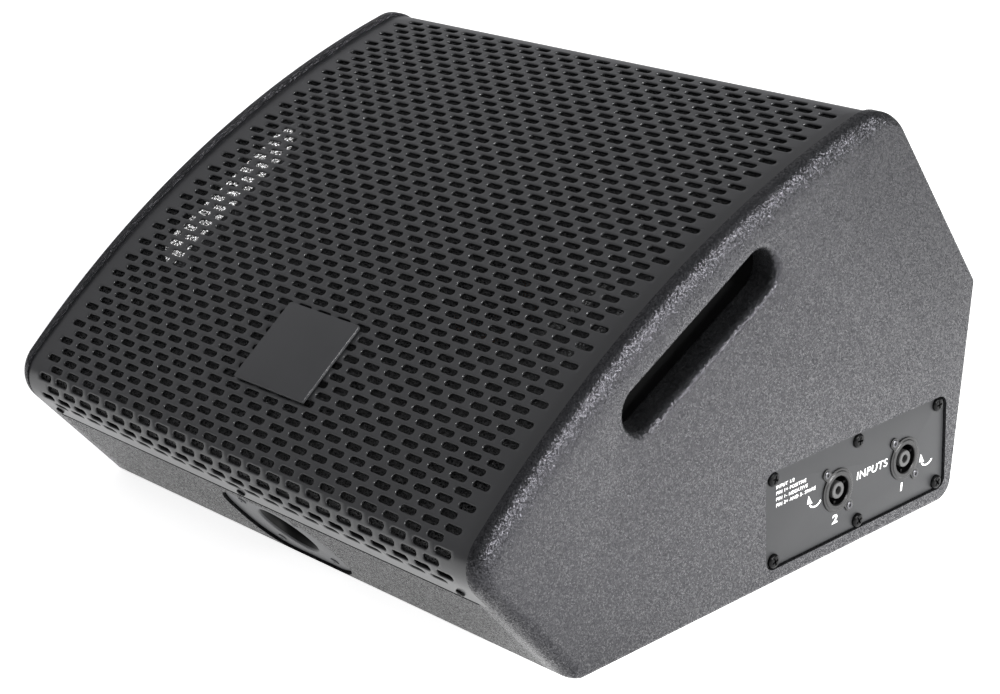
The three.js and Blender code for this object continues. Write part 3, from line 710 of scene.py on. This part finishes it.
def corner(first, second, radius, from_edge, to_edge):
    """The rounding between two sides."""
    turn = (second.angle - first.angle) % (2 * math.pi)
    centre = in_corner(first, second, radius)
    return arc(centre, radius, first.angle, first.angle + turn, 10, from_edge, to_edge)


FOOT_ARC = corner(LOWER, BASE, FOOT_ROUND, LOWER_EDGE, PLAIN_EDGE)
HEEL_ARC = corner(BASE, BACK, HEEL_ROUND, PLAIN_EDGE, PLAIN_EDGE)
SHOULDER_ARC = corner(BACK, SLOPE, SHOULDER_ROUND, PLAIN_EDGE, PLAIN_EDGE)


class Front:
    """A curved front: an arc between the lower face and the back slope, rounded into both."""

    def __init__(self, lower_length, slope_length, radius, lip_radius, crest_radius):
        lip = FOOT + lower_length * headed(LOWER_HEADING)
        crest = SHOULDER + slope_length * headed(SLOPE_HEADING)
        chord = crest - lip
        outward = Vector((-chord.y, chord.x)).normalized()
        drop = math.sqrt(radius**2 - chord.length_squared / 4)
        self.lip = lip
        self.radius = radius
        self.centre = (crest + lip) / 2 - outward * drop
        self.crest_radius = crest_radius
        self.lip_radius = lip_radius
        self.crest_centre = rounding_at_front(self.centre, radius, SLOPE, crest_radius)
        self.lip_centre = rounding_at_front(self.centre, radius, LOWER, lip_radius)
        self.crest_angle = self.angle(self.crest_centre)
        self.lip_angle = self.angle(self.lip_centre)
        self.lower_angle = LOWER.angle + 2 * math.pi

    def angle(self, point):
        offset = point - self.centre
        return math.atan2(offset.y, offset.x)

    def samples(self):
        crest = arc(
            self.crest_centre, self.crest_radius, SLOPE.angle, self.crest_angle, 14,
            PLAIN_EDGE, FRONT_EDGE)
        front = arc(
            self.centre, self.radius, self.crest_angle, self.lip_angle, 48, FRONT_EDGE, FRONT_EDGE)
        lip = arc(
            self.lip_centre, self.lip_radius, self.lip_angle, self.lower_angle, 18,
            FRONT_EDGE, LOWER_EDGE)
        return crest + front[1:-1] + lip


PANEL_FRONT = Front(LOWER_LENGTH, SLOPE_LENGTH, FRONT_RADIUS, LIP_ROUND, CREST_ROUND)
GRILLE_FRONT = Front(
    GRILLE_LOWER_LENGTH, GRILLE_SLOPE_LENGTH, GRILLE_RADIUS, GRILLE_LIP_ROUND,
    GRILLE_CREST_ROUND)
OUTLINE = FOOT_ARC + HEEL_ARC + SHOULDER_ARC + PANEL_FRONT.samples()


def inset(sample, depth):
    point, normal = sample[:2]
    return point - depth * normal


def up_lower(distance, depth=0.0):
    return FOOT - distance * LOWER.direction - depth * LOWER.normal


def down_slope(distance, depth=0.0):
    return CREST - distance * SLOPE.direction - depth * SLOPE.normal


def side_view_frame(origin, x, outward):
    """A local frame with Z along an outward direction in the side view, and X across."""
    normal = Vector((0, outward.x, outward.y))
    across = Vector((1, 0, 0))
    up = normal.cross(across)
    turn = Matrix((across, up, normal)).transposed().to_4x4()
    return Matrix.Translation((x, origin.x, origin.y)) @ turn


def right_frame(origin, x):
    """A local frame on the right side panel: local X is +Y, local Y is +Z, local Z is +X."""
    turn = Matrix(((0, 0, 1), (1, 0, 0), (0, 1, 0))).to_4x4()
    return Matrix.Translation((x, origin.x, origin.y)) @ turn


# ---- Cabinet


def slot_loop(x, grow):
    """The hand slot's outline, grown outward by some margin."""
    steps = 20
    heading = math.radians(SLOT_HEADING)
    radius = SLOT_WIDTH / 2 + grow
    reach = (SLOT_LENGTH - SLOT_WIDTH) / 2
    loop = []
    for sign in (1, -1):
        centre = SLOT_CENTRE + sign * reach * toward(heading)
        for i in range(steps + 1):
            point = centre + sign * radius * toward(heading + math.pi * (i / steps - 0.5))
            loop.append((x, point.x, point.y))
    return loop


def hand_slot():
    """A cutting tool for the hand slot, flared to round over both of its rims."""
    rim = [math.radians(90 - 10 * i) for i in range(10)]
    loops = [slot_loop(INSIDE - 1, SLOT_INNER_RIM)]
    for turn in reversed(rim):
        x = INSIDE + SLOT_INNER_RIM * (1 - math.cos(turn))
        loops.append(slot_loop(x, SLOT_INNER_RIM * (1 - math.sin(turn))))
    for turn in rim:
        x = RIGHT - SLOT_RIM * (1 - math.cos(turn))
        loops.append(slot_loop(x, SLOT_RIM * (1 - math.sin(turn))))
    loops.append(slot_loop(RIGHT + 1, SLOT_RIM))
    points, faces = loft(loops)
    return add_mesh("hand_slot_tool", points, faces, "paint")


GRILLE_LINE = (
    [(down_slope(UPPER_FLANGE_END), SLOPE.normal)]
    + GRILLE_FRONT.samples()
    + [(up_lower(LOWER_FLANGE_START), LOWER.normal)]
)


def rebate_tool():
    """A cutting tool for the step in the side panel that the grille lies in."""
    outer = [inset(sample, -8) for sample in GRILLE_LINE]
    inner = [inset(sample, REBATE) for sample in reversed(GRILLE_LINE)]
    half = GRILLE_HALF + 0.3
    return prism("rebate_tool", outer + inner, -half, half, "paint")


def side_panel(name):
    """The right-hand panel with its edges softened and its hand slot cut."""
    steps = 12
    loops = [[(INSIDE, *inset(sample, 0)) for sample in OUTLINE]]
    for i in range(steps + 1):
        turn = math.pi / 2 * i / steps
        loop = []
        for sample in OUTLINE:
            edge = sample[2]
            point = inset(sample, edge.y * (1 - math.cos(turn)))
            loop.append((RIGHT - edge.x * (1 - math.sin(turn)), point.x, point.y))
        loops.append(loop)
    points, faces = loft(loops)
    panel = add_mesh(name, points, faces, "paint")
    carve(panel, [hand_slot(), rebate_tool()], "paint")
    return panel


def mirror(obj, material):
    """Turns a right-hand piece into a left-hand one."""
    for vertex in obj.data.vertices:
        vertex.co.x = -vertex.co.x
    finish_mesh(obj, material)


def build_side_panels():
    left = side_panel("side_left")
    mirror(left, "paint")
    belongs(left, "cabinet_paint", "side_panel_left")
    panel = side_panel("side_right")
    around_plate = rounded_rectangle(PLATE_LENGTH + 1.6, PLATE_HEIGHT + 1.6, PLATE_ROUND + 0.5)
    pocket = plate("pocket_tool", around_plate, -PLATE_SHEET, 8, "paint", PLATE_FRAME)
    opening = rounded_rectangle(*WINDOW, WINDOW_ROUND)
    between_sockets = right_frame((SOCKETS[0] + SOCKETS[1]) / 2, RIGHT)
    window = plate("window_tool", opening, -20, 1, "paint", between_sockets)
    carve(panel, [pocket, window], "paint")
    belongs(panel, "cabinet_paint", "side_panel_right")


def halves(samples):
    """The points of a rounding up to its middle, and from its middle on."""
    middle = len(samples) // 2
    points = [sample[0] for sample in samples]
    return points[: middle + 1], points[middle:]


def build_boards():
    half = INSIDE + 0.2
    corner_base = in_corner(LOWER, BASE, BOARD)
    corner_back = in_corner(BASE, BACK, BOARD)
    corner_slope = in_corner(BACK, SLOPE, BOARD)
    foot_front, foot_under = halves(FOOT_ARC)
    heel_under, heel_back = halves(HEEL_ARC)
    shoulder_back, shoulder_slope = halves(SHOULDER_ARC)
    base = foot_under + heel_under + [corner_back, corner_base]
    back = heel_back + shoulder_back + [corner_slope, corner_back]
    slope = shoulder_slope + [
        down_slope(UPPER_FLANGE_END + 0.3),
        down_slope(UPPER_FLANGE_END + 0.3, REBATE),
        down_slope(SLOPE_BOARD_END, REBATE),
        down_slope(SLOPE_BOARD_END, BOARD),
        corner_slope,
    ]
    lower = [
        up_lower(LOWER_BOARD_END, BOARD),
        up_lower(LOWER_BOARD_END, REBATE),
        up_lower(LOWER_FLANGE_START - FLANGE_GAP, REBATE),
        up_lower(LOWER_FLANGE_START - FLANGE_GAP),
    ] + foot_front + [corner_base]
    for name, outline in (("base", base), ("back", back), ("back_slope", slope)):
        board = prism(f"{name}_board", outline, -half, half, "paint")
        belongs(board, "cabinet_paint", f"{name}_panel")
    # The lower front board takes the duller copy of the paint: painted shade.
    front = prism("lower_front_board", lower, -half, half, "front_paint_painted_shade")
    hole = disc(POLE_BORE + POLE_WALL + 2, -20, 1, "front_paint_painted_shade", POLE_FRAME)
    outline = rounded_rectangle(POLE_PLATE[0] + 1.2, POLE_PLATE[1] + 1.2, POLE_PLATE_ROUND, 14)
    pocket = plate("pocket_tool", outline, 0, 8, "front_paint_painted_shade", POLE_FRAME)
    carve(front, [hole, pocket], "front_paint_painted_shade")
    belongs(front, "cabinet_paint", "lower_front_panel")


# ---- Grille


def straight(start, end, normal):
    """A straight stretch of the sheet: its length, and its point and normal at a share of it."""
    return (end - start).length, lambda share: (start.lerp(end, share), normal)


def bend(centre, radius, from_angle, to_angle):
    """A round stretch of the sheet, given in the same way."""
    def at(share):
        normal = toward(from_angle + (to_angle - from_angle) * share)
        return centre + radius * normal, normal

    return radius * (to_angle - from_angle), at


class SheetLine:
    """The grille's outer line in the side view, followed by distance from its upper edge."""

    def __init__(self):
        front = GRILLE_FRONT
        slope_end = front.crest_centre + front.crest_radius * SLOPE.normal
        lower_start = front.lip_centre + front.lip_radius * LOWER.normal
        self.stretches = [
            straight(down_slope(UPPER_FLANGE_END), slope_end, SLOPE.normal),
            bend(front.crest_centre, front.crest_radius, SLOPE.angle, front.crest_angle),
            bend(front.centre, front.radius, front.crest_angle, front.lip_angle),
            bend(front.lip_centre, front.lip_radius, front.lip_angle, front.lower_angle),
            straight(lower_start, up_lower(LOWER_FLANGE_START), LOWER.normal),
        ]
        self.length = sum(length for length, _ in self.stretches)

    def at(self, distance):
        """The point and the outward normal at a distance along the sheet."""
        for length, place in self.stretches:
            if distance <= length + ROUNDING:
                return place(distance / length)
            distance -= length

    def row(self, number):
        """Distance of a row of holes: row 0 is on the front arc, and rows count upward."""
        to_zero = GRILLE_RADIUS * (math.radians(ROW_ZERO_ANGLE) - GRILLE_FRONT.crest_angle)
        to_front = self.stretches[0][0] + self.stretches[1][0]
        return to_front + to_zero - number * ROW_PITCH


class GrilleMesh:
    """Collects the grille's points, each known by its place on the flat sheet and its depth."""

    def __init__(self, line):
        self.line = line
        self.points = []
        self.faces = []
        self.known = {}

    def point(self, x, distance, depth):
        key = (round(x, 3), round(distance, 3), round(depth, 3))
        if key not in self.known:
            place, normal = self.line.at(distance)
            place = place - depth * normal
            self.known[key] = len(self.points)
            self.points.append((x, place.x, place.y))
        return self.known[key]

    def face(self, corners, depth, back=False):
        ring = [self.point(x, distance, depth) for x, distance in corners]
        self.faces.append(tuple(reversed(ring)) if back else tuple(ring))


def hole_ring(x, distance, grow):
    """A hole's outline from the middle of its upper side, turning clockwise."""
    radius = HOLE_WIDTH / 2 + grow
    reach = (HOLE_LENGTH - HOLE_WIDTH) / 2
    ring = [(x, distance - radius)]
    for sign in (1, -1):
        for i in range(9):
            angle = math.pi * (i / 8 - 0.5)
            ring.append((
                x + sign * (reach + radius * math.cos(angle)),
                distance + sign * radius * math.sin(angle),
            ))
        ring.append((x, distance + sign * radius))
    return ring[:-1]


def add_hole(mesh, x, distance):
    """One cell of the sheet: its front and back round a hole with rolled edges.

    spans gives the stretch of the hole's outline that each line of the cell's border is joined to.
    """
    half_x = HOLE_PITCH / 2
    half_y = ROW_PITCH / 2
    border = [
        (0, -1), (0.5, -1), (1, -1), (1, 0), (1, 1), (0.5, 1),
        (0, 1), (-0.5, 1), (-1, 1), (-1, 0), (-1, -1), (-0.5, -1),
    ]
    cell = [(x + u * half_x, distance + v * half_y) for u, v in border]
    spans = [(0, 1), (1, 3), (3, 5), (5, 7), (7, 9), (9, 10)]
    spans += [(low + 10, high + 10) for low, high in spans]
    levels = ((0.5, 0.0), (0.15, 0.15), (0.0, 0.5), (0.0, SHEET - 0.3), (0.25, SHEET))
    rings = [(hole_ring(x, distance, grow), depth) for grow, depth in levels]
    for (ring, depth), back in ((rings[0], False), (rings[-1], True)):
        for i, (low, high) in enumerate(spans):
            outer = [cell[i], cell[(i + 1) % len(cell)]]
            inner = [ring[k % len(ring)] for k in range(high, low - 1, -1)]
            mesh.face(outer + inner, depth, back)
    for (ring_a, depth_a), (ring_b, depth_b) in zip(rings, rings[1:]):
        for k in range(len(ring_a)):
            following = (k + 1) % len(ring_a)
            mesh.faces.append((
                mesh.point(*ring_a[k], depth_a),
                mesh.point(*ring_a[following], depth_a),
                mesh.point(*ring_b[following], depth_b),
                mesh.point(*ring_b[k], depth_b),
            ))


def add_strip(mesh, columns, rows):
    """Plain sheet between columns across and rows along, front and back."""
    for left, right in zip(columns, columns[1:]):
        for high, low in zip(rows, rows[1:]):
            corners = [(left, high), (right, high), (right, low), (left, low)]
            mesh.face(corners, 0.0)
            mesh.face(corners, SHEET, back=True)


def add_sheet_edge(mesh, border):
    """Closes the sheet's outer edge between front and back."""
    for (x_a, d_a), (x_b, d_b) in zip(border, border[1:] + border[:1]):
        mesh.faces.append((
            mesh.point(x_b, d_b, 0.0), mesh.point(x_a, d_a, 0.0),
            mesh.point(x_a, d_a, SHEET), mesh.point(x_b, d_b, SHEET),
        ))


def between(start, end, step):
    """Evenly spaced values from start to end, at most step apart."""
    count = max(1, math.ceil(abs(end - start) / step))
    return [start + (end - start) * i / count for i in range(count + 1)]


def build_grille():
    """The sheet with its rows of holes. Odd rows have one hole less and start half a pitch in."""
    line = SheetLine()
    mesh = GrilleMesh(line)
    quarter = HOLE_PITCH / 4
    edge = HOLES_ACROSS * HOLE_PITCH / 2
    rows = range(HIGHEST_ROW, LOWEST_ROW - 1, -1)
    for number in rows:
        distance = line.row(number)
        span = (distance - ROW_PITCH / 2, distance, distance + ROW_PITCH / 2)
        count = HOLES_ACROSS if number % 2 == 0 else HOLES_ACROSS - 1
        for i in range(count):
            add_hole(mesh, (i - (count - 1) / 2) * HOLE_PITCH, distance)
        if number % 2:
            ends = [edge - 2 * quarter, edge - quarter, edge]
            add_strip(mesh, ends, span)
            add_strip(mesh, [-x for x in reversed(ends)], span)
        add_strip(mesh, [edge, GRILLE_HALF], span)
        add_strip(mesh, [-GRILLE_HALF, -edge], span)
    top = line.row(HIGHEST_ROW) - ROW_PITCH / 2
    bottom = line.row(LOWEST_ROW) + ROW_PITCH / 2
    quarters = range(-2 * HOLES_ACROSS, 2 * HOLES_ACROSS + 1)
    columns = [-GRILLE_HALF] + [quarter * i for i in quarters] + [GRILLE_HALF]
    above = between(0.0, top, 2.5)
    below = between(bottom, line.length, 1.5)
    add_strip(mesh, columns, above)
    add_strip(mesh, columns, below)
    sides = above[:-1]
    for number in rows:
        sides += [line.row(number) - ROW_PITCH / 2, line.row(number)]
    sides += below
    right = [(GRILLE_HALF, distance) for distance in sides]
    left = [(-GRILLE_HALF, distance) for distance in reversed(sides)]
    across = [(x, line.length) for x in reversed(columns[1:-1])]
    back_across = [(x, 0.0) for x in columns[1:-1]]
    add_sheet_edge(mesh, right + across + left + back_across)
    grille = add_mesh("perforated_grille", mesh.points, mesh.faces, "grille", 50)
    belongs(grille, "grille_steel", "grille")


def build_foam():
    """A soft layer close behind the sheet, ending short of the lower panel."""
    samples = GRILLE_FRONT.samples()[:-3]
    outer = [inset(sample, FOAM_DEPTH) for sample in samples]
    inner = [inset(sample, FOAM_DEPTH + FOAM) for sample in reversed(samples)]
    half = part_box("grille_foam")[1][0] / MM
    foam = prism("foam_sheet", outer + inner, -half, half, "foam")
    belongs(foam, "foam", "grille_foam")


def build_badge():
    """A blank plate stuck on the sheet."""
    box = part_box("badge_plate")
    middle_x = (box[0][0] + box[1][0]) / 2 / MM
    angle = GRILLE_FRONT.angle(GRILLE_FRONT.lip) - BADGE_FROM_LIP / GRILLE_RADIUS
    origin = GRILLE_FRONT.centre + GRILLE_RADIUS * toward(angle)
    outline = rounded_rectangle(BADGE_WIDTH, BADGE_HEIGHT, 1.2)
    local = side_view_frame(origin, middle_x, toward(angle))
    badge = plate("badge", outline, 0.15, 1.9, "badge", local, 0.25)
    belongs(badge, "badge", "badge_plate")


# ---- Input plate and sockets

PLATE_CENTRE = Vector((PLATE_CENTRE_Y, (plate_box[0][2] + plate_box[1][2]) / 2 / MM))
PLATE_FRAME = right_frame(PLATE_CENTRE, RIGHT - PLATE_RECESS)
SOCKET_FRAMES = [right_frame(socket, RIGHT - PLATE_RECESS) for socket in SOCKETS]
POLE_FRAME = side_view_frame(up_lower(POLE_UP, POLE_RECESS), 0, LOWER.normal)

# A template is drawn here, with its own middle at the object's origin.
CENTRED = Matrix.Translation((0, ORIGIN_Y, 0))


def stamp(template, name, local):
    """A copy of a template, set in a local frame."""
    mesh = template.data.copy()
    mesh.transform(in_metres(local))
    mesh.name = name
    copy = bpy.data.objects.new(name, mesh)
    bpy.context.collection.objects.link(copy)
    return copy


def in_metres(local):
    """A local frame in millimetres, as a frame in metres."""
    place = local.copy()
    place.translation = placed([local.translation])[0]
    return place


def merge(name, pieces):
    """Joins pieces into the first one."""
    with bpy.context.temp_override(active_object=pieces[0], selected_editable_objects=pieces):
        bpy.ops.object.join()
    pieces[0].name = name
    return pieces[0]


def spun(angle):
    return Matrix.Rotation(angle, 4, "Z")


def offset(local, x, y, z=0.0):
    return local @ Matrix.Translation((x, y, z))


def screw_template(name, radius, height, shank, length, material="fixing"):
    """A pan-head screw with a cross recess."""
    dome = [math.radians(angle) for angle in (0, 20, 40, 60, 75, 90)]
    profile = [(0, -length), (shank, -length + 2), (shank, 0), (radius - 0.15, 0), (radius, 0.15)]
    profile += [
        (radius * (0.55 + 0.45 * math.cos(angle)), 0.35 * height + 0.65 * height * math.sin(angle))
        for angle in dome
    ]
    profile.append((0, height))
    head = turned(name, profile, material, CENTRED, 40)
    slots = []
    for turn in (0, math.pi / 2):
        outline = rounded_rectangle(radius * 1.15, radius * 0.26, radius * 0.06, 3)
        local = CENTRED @ spun(turn)
        slots.append(plate("slot_tool", outline, height * 0.3, height + 1, material, local))
    carve(head, slots, material)
    return head


def drive_screws(template, stem, node, frames):
    """Sets a copy of a screw in each frame and removes the template."""
    for number, local in enumerate(frames, 1):
        copy = stamp(template, f"{stem}_{number}", local)
        belongs(copy, "black_fixings", f"{node}_{number}")
    bpy.data.objects.remove(template)


def build_screws():
    """All the screws that show. Those of a plate have their cross recesses turned differently."""
    lower = [side_view_frame(up_lower(LOWER_SCREW_AT), x, LOWER.normal) for x in LOWER_SCREWS_X]
    upper = [side_view_frame(down_slope(UPPER_SCREW_AT), x, SLOPE.normal) for x in UPPER_SCREWS_X]
    small = screw_template("small_screw", radius=2.6, height=1.3, shank=1.5, length=9)
    drive_screws(small, "grille_fixing", "grille_screw", lower + upper)

    spots = [(step, row) for step in (-1, 0, 1) for row in (-1, 1)]
    on_plate = [
        offset(PLATE_FRAME, step * PLATE_SCREW_STEP, row * PLATE_SCREW_RISE) @ spun(0.9 * i + 0.3)
        for i, (step, row) in enumerate(spots)
    ]
    wide = screw_template("wide_screw", radius=4.1, height=2.1, shank=1.7, length=11)
    drive_screws(wide, "plate_fixing", "input_plate_screw", on_plate)

    corners = ((-1, -1), (1, -1), (1, 1), (-1, 1))
    on_pole = [
        offset(POLE_FRAME, x * POLE_SCREW[0], y * POLE_SCREW[1], POLE_THICK) @ spun(0.7 * i + 0.2)
        for i, (x, y) in enumerate(corners)
    ]
    low = screw_template("low_screw", radius=2.8, height=0.8, shank=1.7, length=9, material="pole")
    drive_screws(low, "pole_fixing", "pole_cup_screw", on_pole)


def build_input_plate():
    outline = rounded_rectangle(PLATE_LENGTH, PLATE_HEIGHT, PLATE_ROUND)
    sheet = plate("input_sheet", outline, -PLATE_SHEET + 0.1, 0, "plate", PLATE_FRAME, 0.25)
    holes = [disc(SOCKET_RADIUS + 0.3, -4, 4, "plate", local) for local in SOCKET_FRAMES]
    carve(sheet, holes, "plate")
    belongs(sheet, "plate_steel", "input_plate")


def socket_outline():
    """A round front with two small round ears for the rivets."""
    distance = math.hypot(*RIVET)
    heading = math.atan2(RIVET[1], RIVET[0])
    points = []
    steps = 240
    for i in range(steps):
        angle = 2 * math.pi * i / steps
        radius = SOCKET_FLANGE
        for ear in (heading, heading + math.pi):
            apart = math.remainder(angle - ear, 2 * math.pi)
            spare = RIVET_EAR**2 - (distance * math.sin(apart)) ** 2
            if abs(apart) < 1 and spare > 0:
                radius = max(radius, distance * math.cos(apart) + math.sqrt(spare))
        points.append((radius * math.cos(angle), radius * math.sin(angle)))
    return points


def build_socket(number, local):
    """A twist-lock socket: a raised front ring, a deep annular slot and a hollow centre post."""
    face = plate("face", socket_outline(), 0.05, 0.9, "socket_face", local, 0.25)
    carve(face, [disc(BORE_RADIUS, -2, 3, "socket_face", local)], "socket_face")
    profiles = {
        ("rim", "socket_face"): [
            (BORE_RADIUS, 0.9), (BORE_RADIUS + 0.5, 1.3), (SOCKET_RADIUS - 1.2, 1.3),
            (SOCKET_RADIUS - 0.6, 0.9), (SOCKET_RADIUS - 0.6, 0.4), (BORE_RADIUS, 0.4),
        ],
        ("barrel", "socket"): [
            (BORE_RADIUS, 0.3), (SOCKET_RADIUS, 0.3),
            (SOCKET_RADIUS, -SOCKET_DEPTH), (BORE_RADIUS, -SOCKET_DEPTH),
        ],
        ("post", "socket_post"): [
            (POST_HOLLOW, -12), (POST_HOLLOW, 0.5), (POST_HOLLOW + 0.3, 0.8),
            (POST_RADIUS - 0.4, 0.8), (POST_RADIUS, 0.4), (POST_RADIUS, -SLOT_DEPTH),
            (POST_HOLLOW, -SLOT_DEPTH),
        ],
    }
    pieces = [face, disc(BORE_RADIUS, -SLOT_DEPTH - 1, -SLOT_DEPTH, "socket", local)]
    for (name, material), profile in profiles.items():
        pieces.append(turned(name, profile, material, local, ring=True))
    for turn in (20, 140, 260):
        key = rounded_rectangle(2.0, 1.4, 0.3, 3)
        at_wall = offset(local @ spun(math.radians(turn)), BORE_RADIUS - 0.8, 0)
        pieces.append(plate("key", key, -13, -0.8, "socket", at_wall))
    socket = merge(f"socket_{number}", pieces)
    belongs(socket, "socket_plastic", f"speaker_socket_{number}")


def build_rivets():
    """Hollow rivets through the sockets' ears."""
    number = 0
    for local in SOCKET_FRAMES:
        for end in (-1, 1):
            number += 1
            rivet = turned("rivet", [
                (0.9, -5), (0.9, 0.9), (1.1, 1.3), (1.7, 1.45),
                (2.1, 1.2), (2.2, 0.9), (1.5, 0.8), (1.5, -5),
            ], "steel_dark", offset(local, end * RIVET[0], end * RIVET[1]), 28, ring=True)
            rivet.name = f"hollow_rivet_{number}"
            belongs(rivet, "black_fixings", f"socket_rivet_{number}")


def print_text(name, words, size, place, stretch, weight=0.008, align="CENTER"):
    """Slanted white lettering on the input plate, centred on a place there or starting at it."""
    data = bpy.data.curves.new(name, "FONT")
    data.body = words
    data.size = size
    data.shear = 0.1
    data.space_character = 1.12
    data.offset = size * weight
    data.align_x = align
    data.align_y = "CENTER"
    source = bpy.data.objects.new(name, data)
    bpy.context.collection.objects.link(source)
    graph = bpy.context.evaluated_depsgraph_get()
    mesh = bpy.data.meshes.new_from_object(source.evaluated_get(graph))
    mesh.transform(Matrix.Diagonal((stretch * MM, MM, MM, 1)))
    mesh.transform(in_metres(offset(PLATE_FRAME, *place, PRINT_LIFT)))
    bpy.data.objects.remove(source)
    return print_piece(name, mesh)


def print_piece(name, mesh):
    """Makes a piece of white ink from a flat mesh."""
    mesh.materials.clear()
    mesh.materials.append(MATERIALS["print"])
    piece = bpy.data.objects.new(name, mesh)
    bpy.context.collection.objects.link(piece)
    belongs(piece, "plate_steel")
    return piece


def print_arrow(name, centre):
    """A short curved arrow that shows which way a plug turns."""
    steps = 10
    sweep = [math.radians(205 + 13 * i) for i in range(steps + 1)]
    inner, outer = (
        [(radius * 1.25 * math.cos(angle), radius * math.sin(angle)) for angle in sweep]
        for radius in ARROW_RADII
    )
    head = [(-6.8, -0.6), (-2.4, -1.4), (-5.5, 4.0)]
    points = [(x, y, 0.0) for x, y in inner + outer[::-1] + head]
    last = 2 * steps + 1
    faces = [(i, i + 1, last - 1 - i, last - i) for i in range(steps)]
    faces.append((last + 1, last + 2, last + 3))
    mesh = bpy.data.meshes.new(name)
    mesh.from_pydata([Vector(point) * MM for point in points], [], faces)
    mesh.transform(in_metres(offset(PLATE_FRAME, *centre, PRINT_LIFT)))
    print_piece(name, mesh)


def build_prints():
    print_text("print_inputs", "INPUTS", HEADING_SIZE, HEADING_AT, 1.14)
    for number, socket in enumerate(SOCKETS, 1):
        x, y = socket - PLATE_CENTRE
        place = (x - DIGIT_LEFT, y - DIGIT_BELOW)
        print_text(f"print_{number}", str(number), DIGIT_SIZE, place, 1.4, weight=0.02)
    lines = ("INPUT 1/2", "PIN 1+ POSITIVE", "PIN 1- NEGATIVE", "PIN 2+ AND 2- SPARE")
    for row, words in enumerate(lines):
        place = (LEGEND_AT[0], LEGEND_AT[1] - LEGEND_STEP * row)
        print_text(f"print_line_{row}", words, LEGEND_SIZE, place, 1.1, align="LEFT")
    for number, centre in ARROWS_AT.items():
        print_arrow(f"print_arrow_{number}", centre)


def build_pole_cup():
    """A pressed plate, rolled into a deep round cup for a stand pole."""
    outline = rounded_rectangle(*POLE_PLATE, POLE_PLATE_ROUND, 14)
    face = plate("pole_face", outline, 0.1, POLE_THICK, "pole", POLE_FRAME, 0.5)
    carve(face, [disc(POLE_MOUTH, -3, 4, "pole", POLE_FRAME)], "pole")
    outside = POLE_BORE + POLE_WALL
    roll = turned("pole_roll", [
        (POLE_MOUTH + 0.4, POLE_THICK), (outside - 0.2, POLE_THICK - 0.1),
        (outside - 0.7, POLE_THICK - 0.6), (outside - 0.9, 0.9), (POLE_MOUTH + 0.4, 0.9),
    ], "pole", POLE_FRAME, 96, ring=True)
    end = -POLE_DEPTH + POLE_WALL
    # The tube, and so the bore, takes the dark copy of the coat: painted shade.
    cup = turned("pole_tube", [
        (outside, 0.8), (outside - 0.9, 0.8), (POLE_BORE + 0.4, -0.8), (POLE_BORE, -3),
        (POLE_BORE, end), (0, end), (0, -POLE_DEPTH), (outside, -POLE_DEPTH),
    ], "pole_painted_shade", POLE_FRAME, 96, ring=True)
    belongs(merge("pole_mount", [face, roll, cup]), "pole_steel", "pole_cup")


# ---- Carried-over nodes --------------------------------------------------------------------------

CARRIED = {
    "baffle": "baffle",
    "driver_screw": "fixing",
    "driver_basket": "basket",
    "driver_top_plate": "steel",
    "driver_magnet": "ferrite",
    "driver_back_plate": "steel",
    "voice_coil": "copper",
    "cone": "paper",
    "surround": "rubber",
    "spider": "cloth",
    "horn_flare": "plastic",
    "horn_driver": "alloy",
    "port_tube": "plastic",
    "crossover_board": "laminate",
    "inductor": "copper",
    "capacitor": "film",
    "socket_cable": "cable",
    "woofer_cable": "cable",
    "horn_cable": "cable",
}


def paint_carried():
    """Gives the CAD nodes that still show or lie inside their finished materials."""
    for name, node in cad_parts.items():
        stem = name.rstrip("0123456789").rstrip("_")
        if stem not in CARRIED or not node.data.materials:
            continue
        for slot in node.material_slots:
            slot.material = MATERIALS[CARRIED[stem]]


add_camera()
add_studio()
build_side_panels()
build_boards()
build_grille()
build_foam()
build_badge()
build_input_plate()
for number, local in enumerate(SOCKET_FRAMES, 1):
    build_socket(number, local)
build_rivets()
build_screws()
build_prints()
build_pole_cup()
paint_carried()
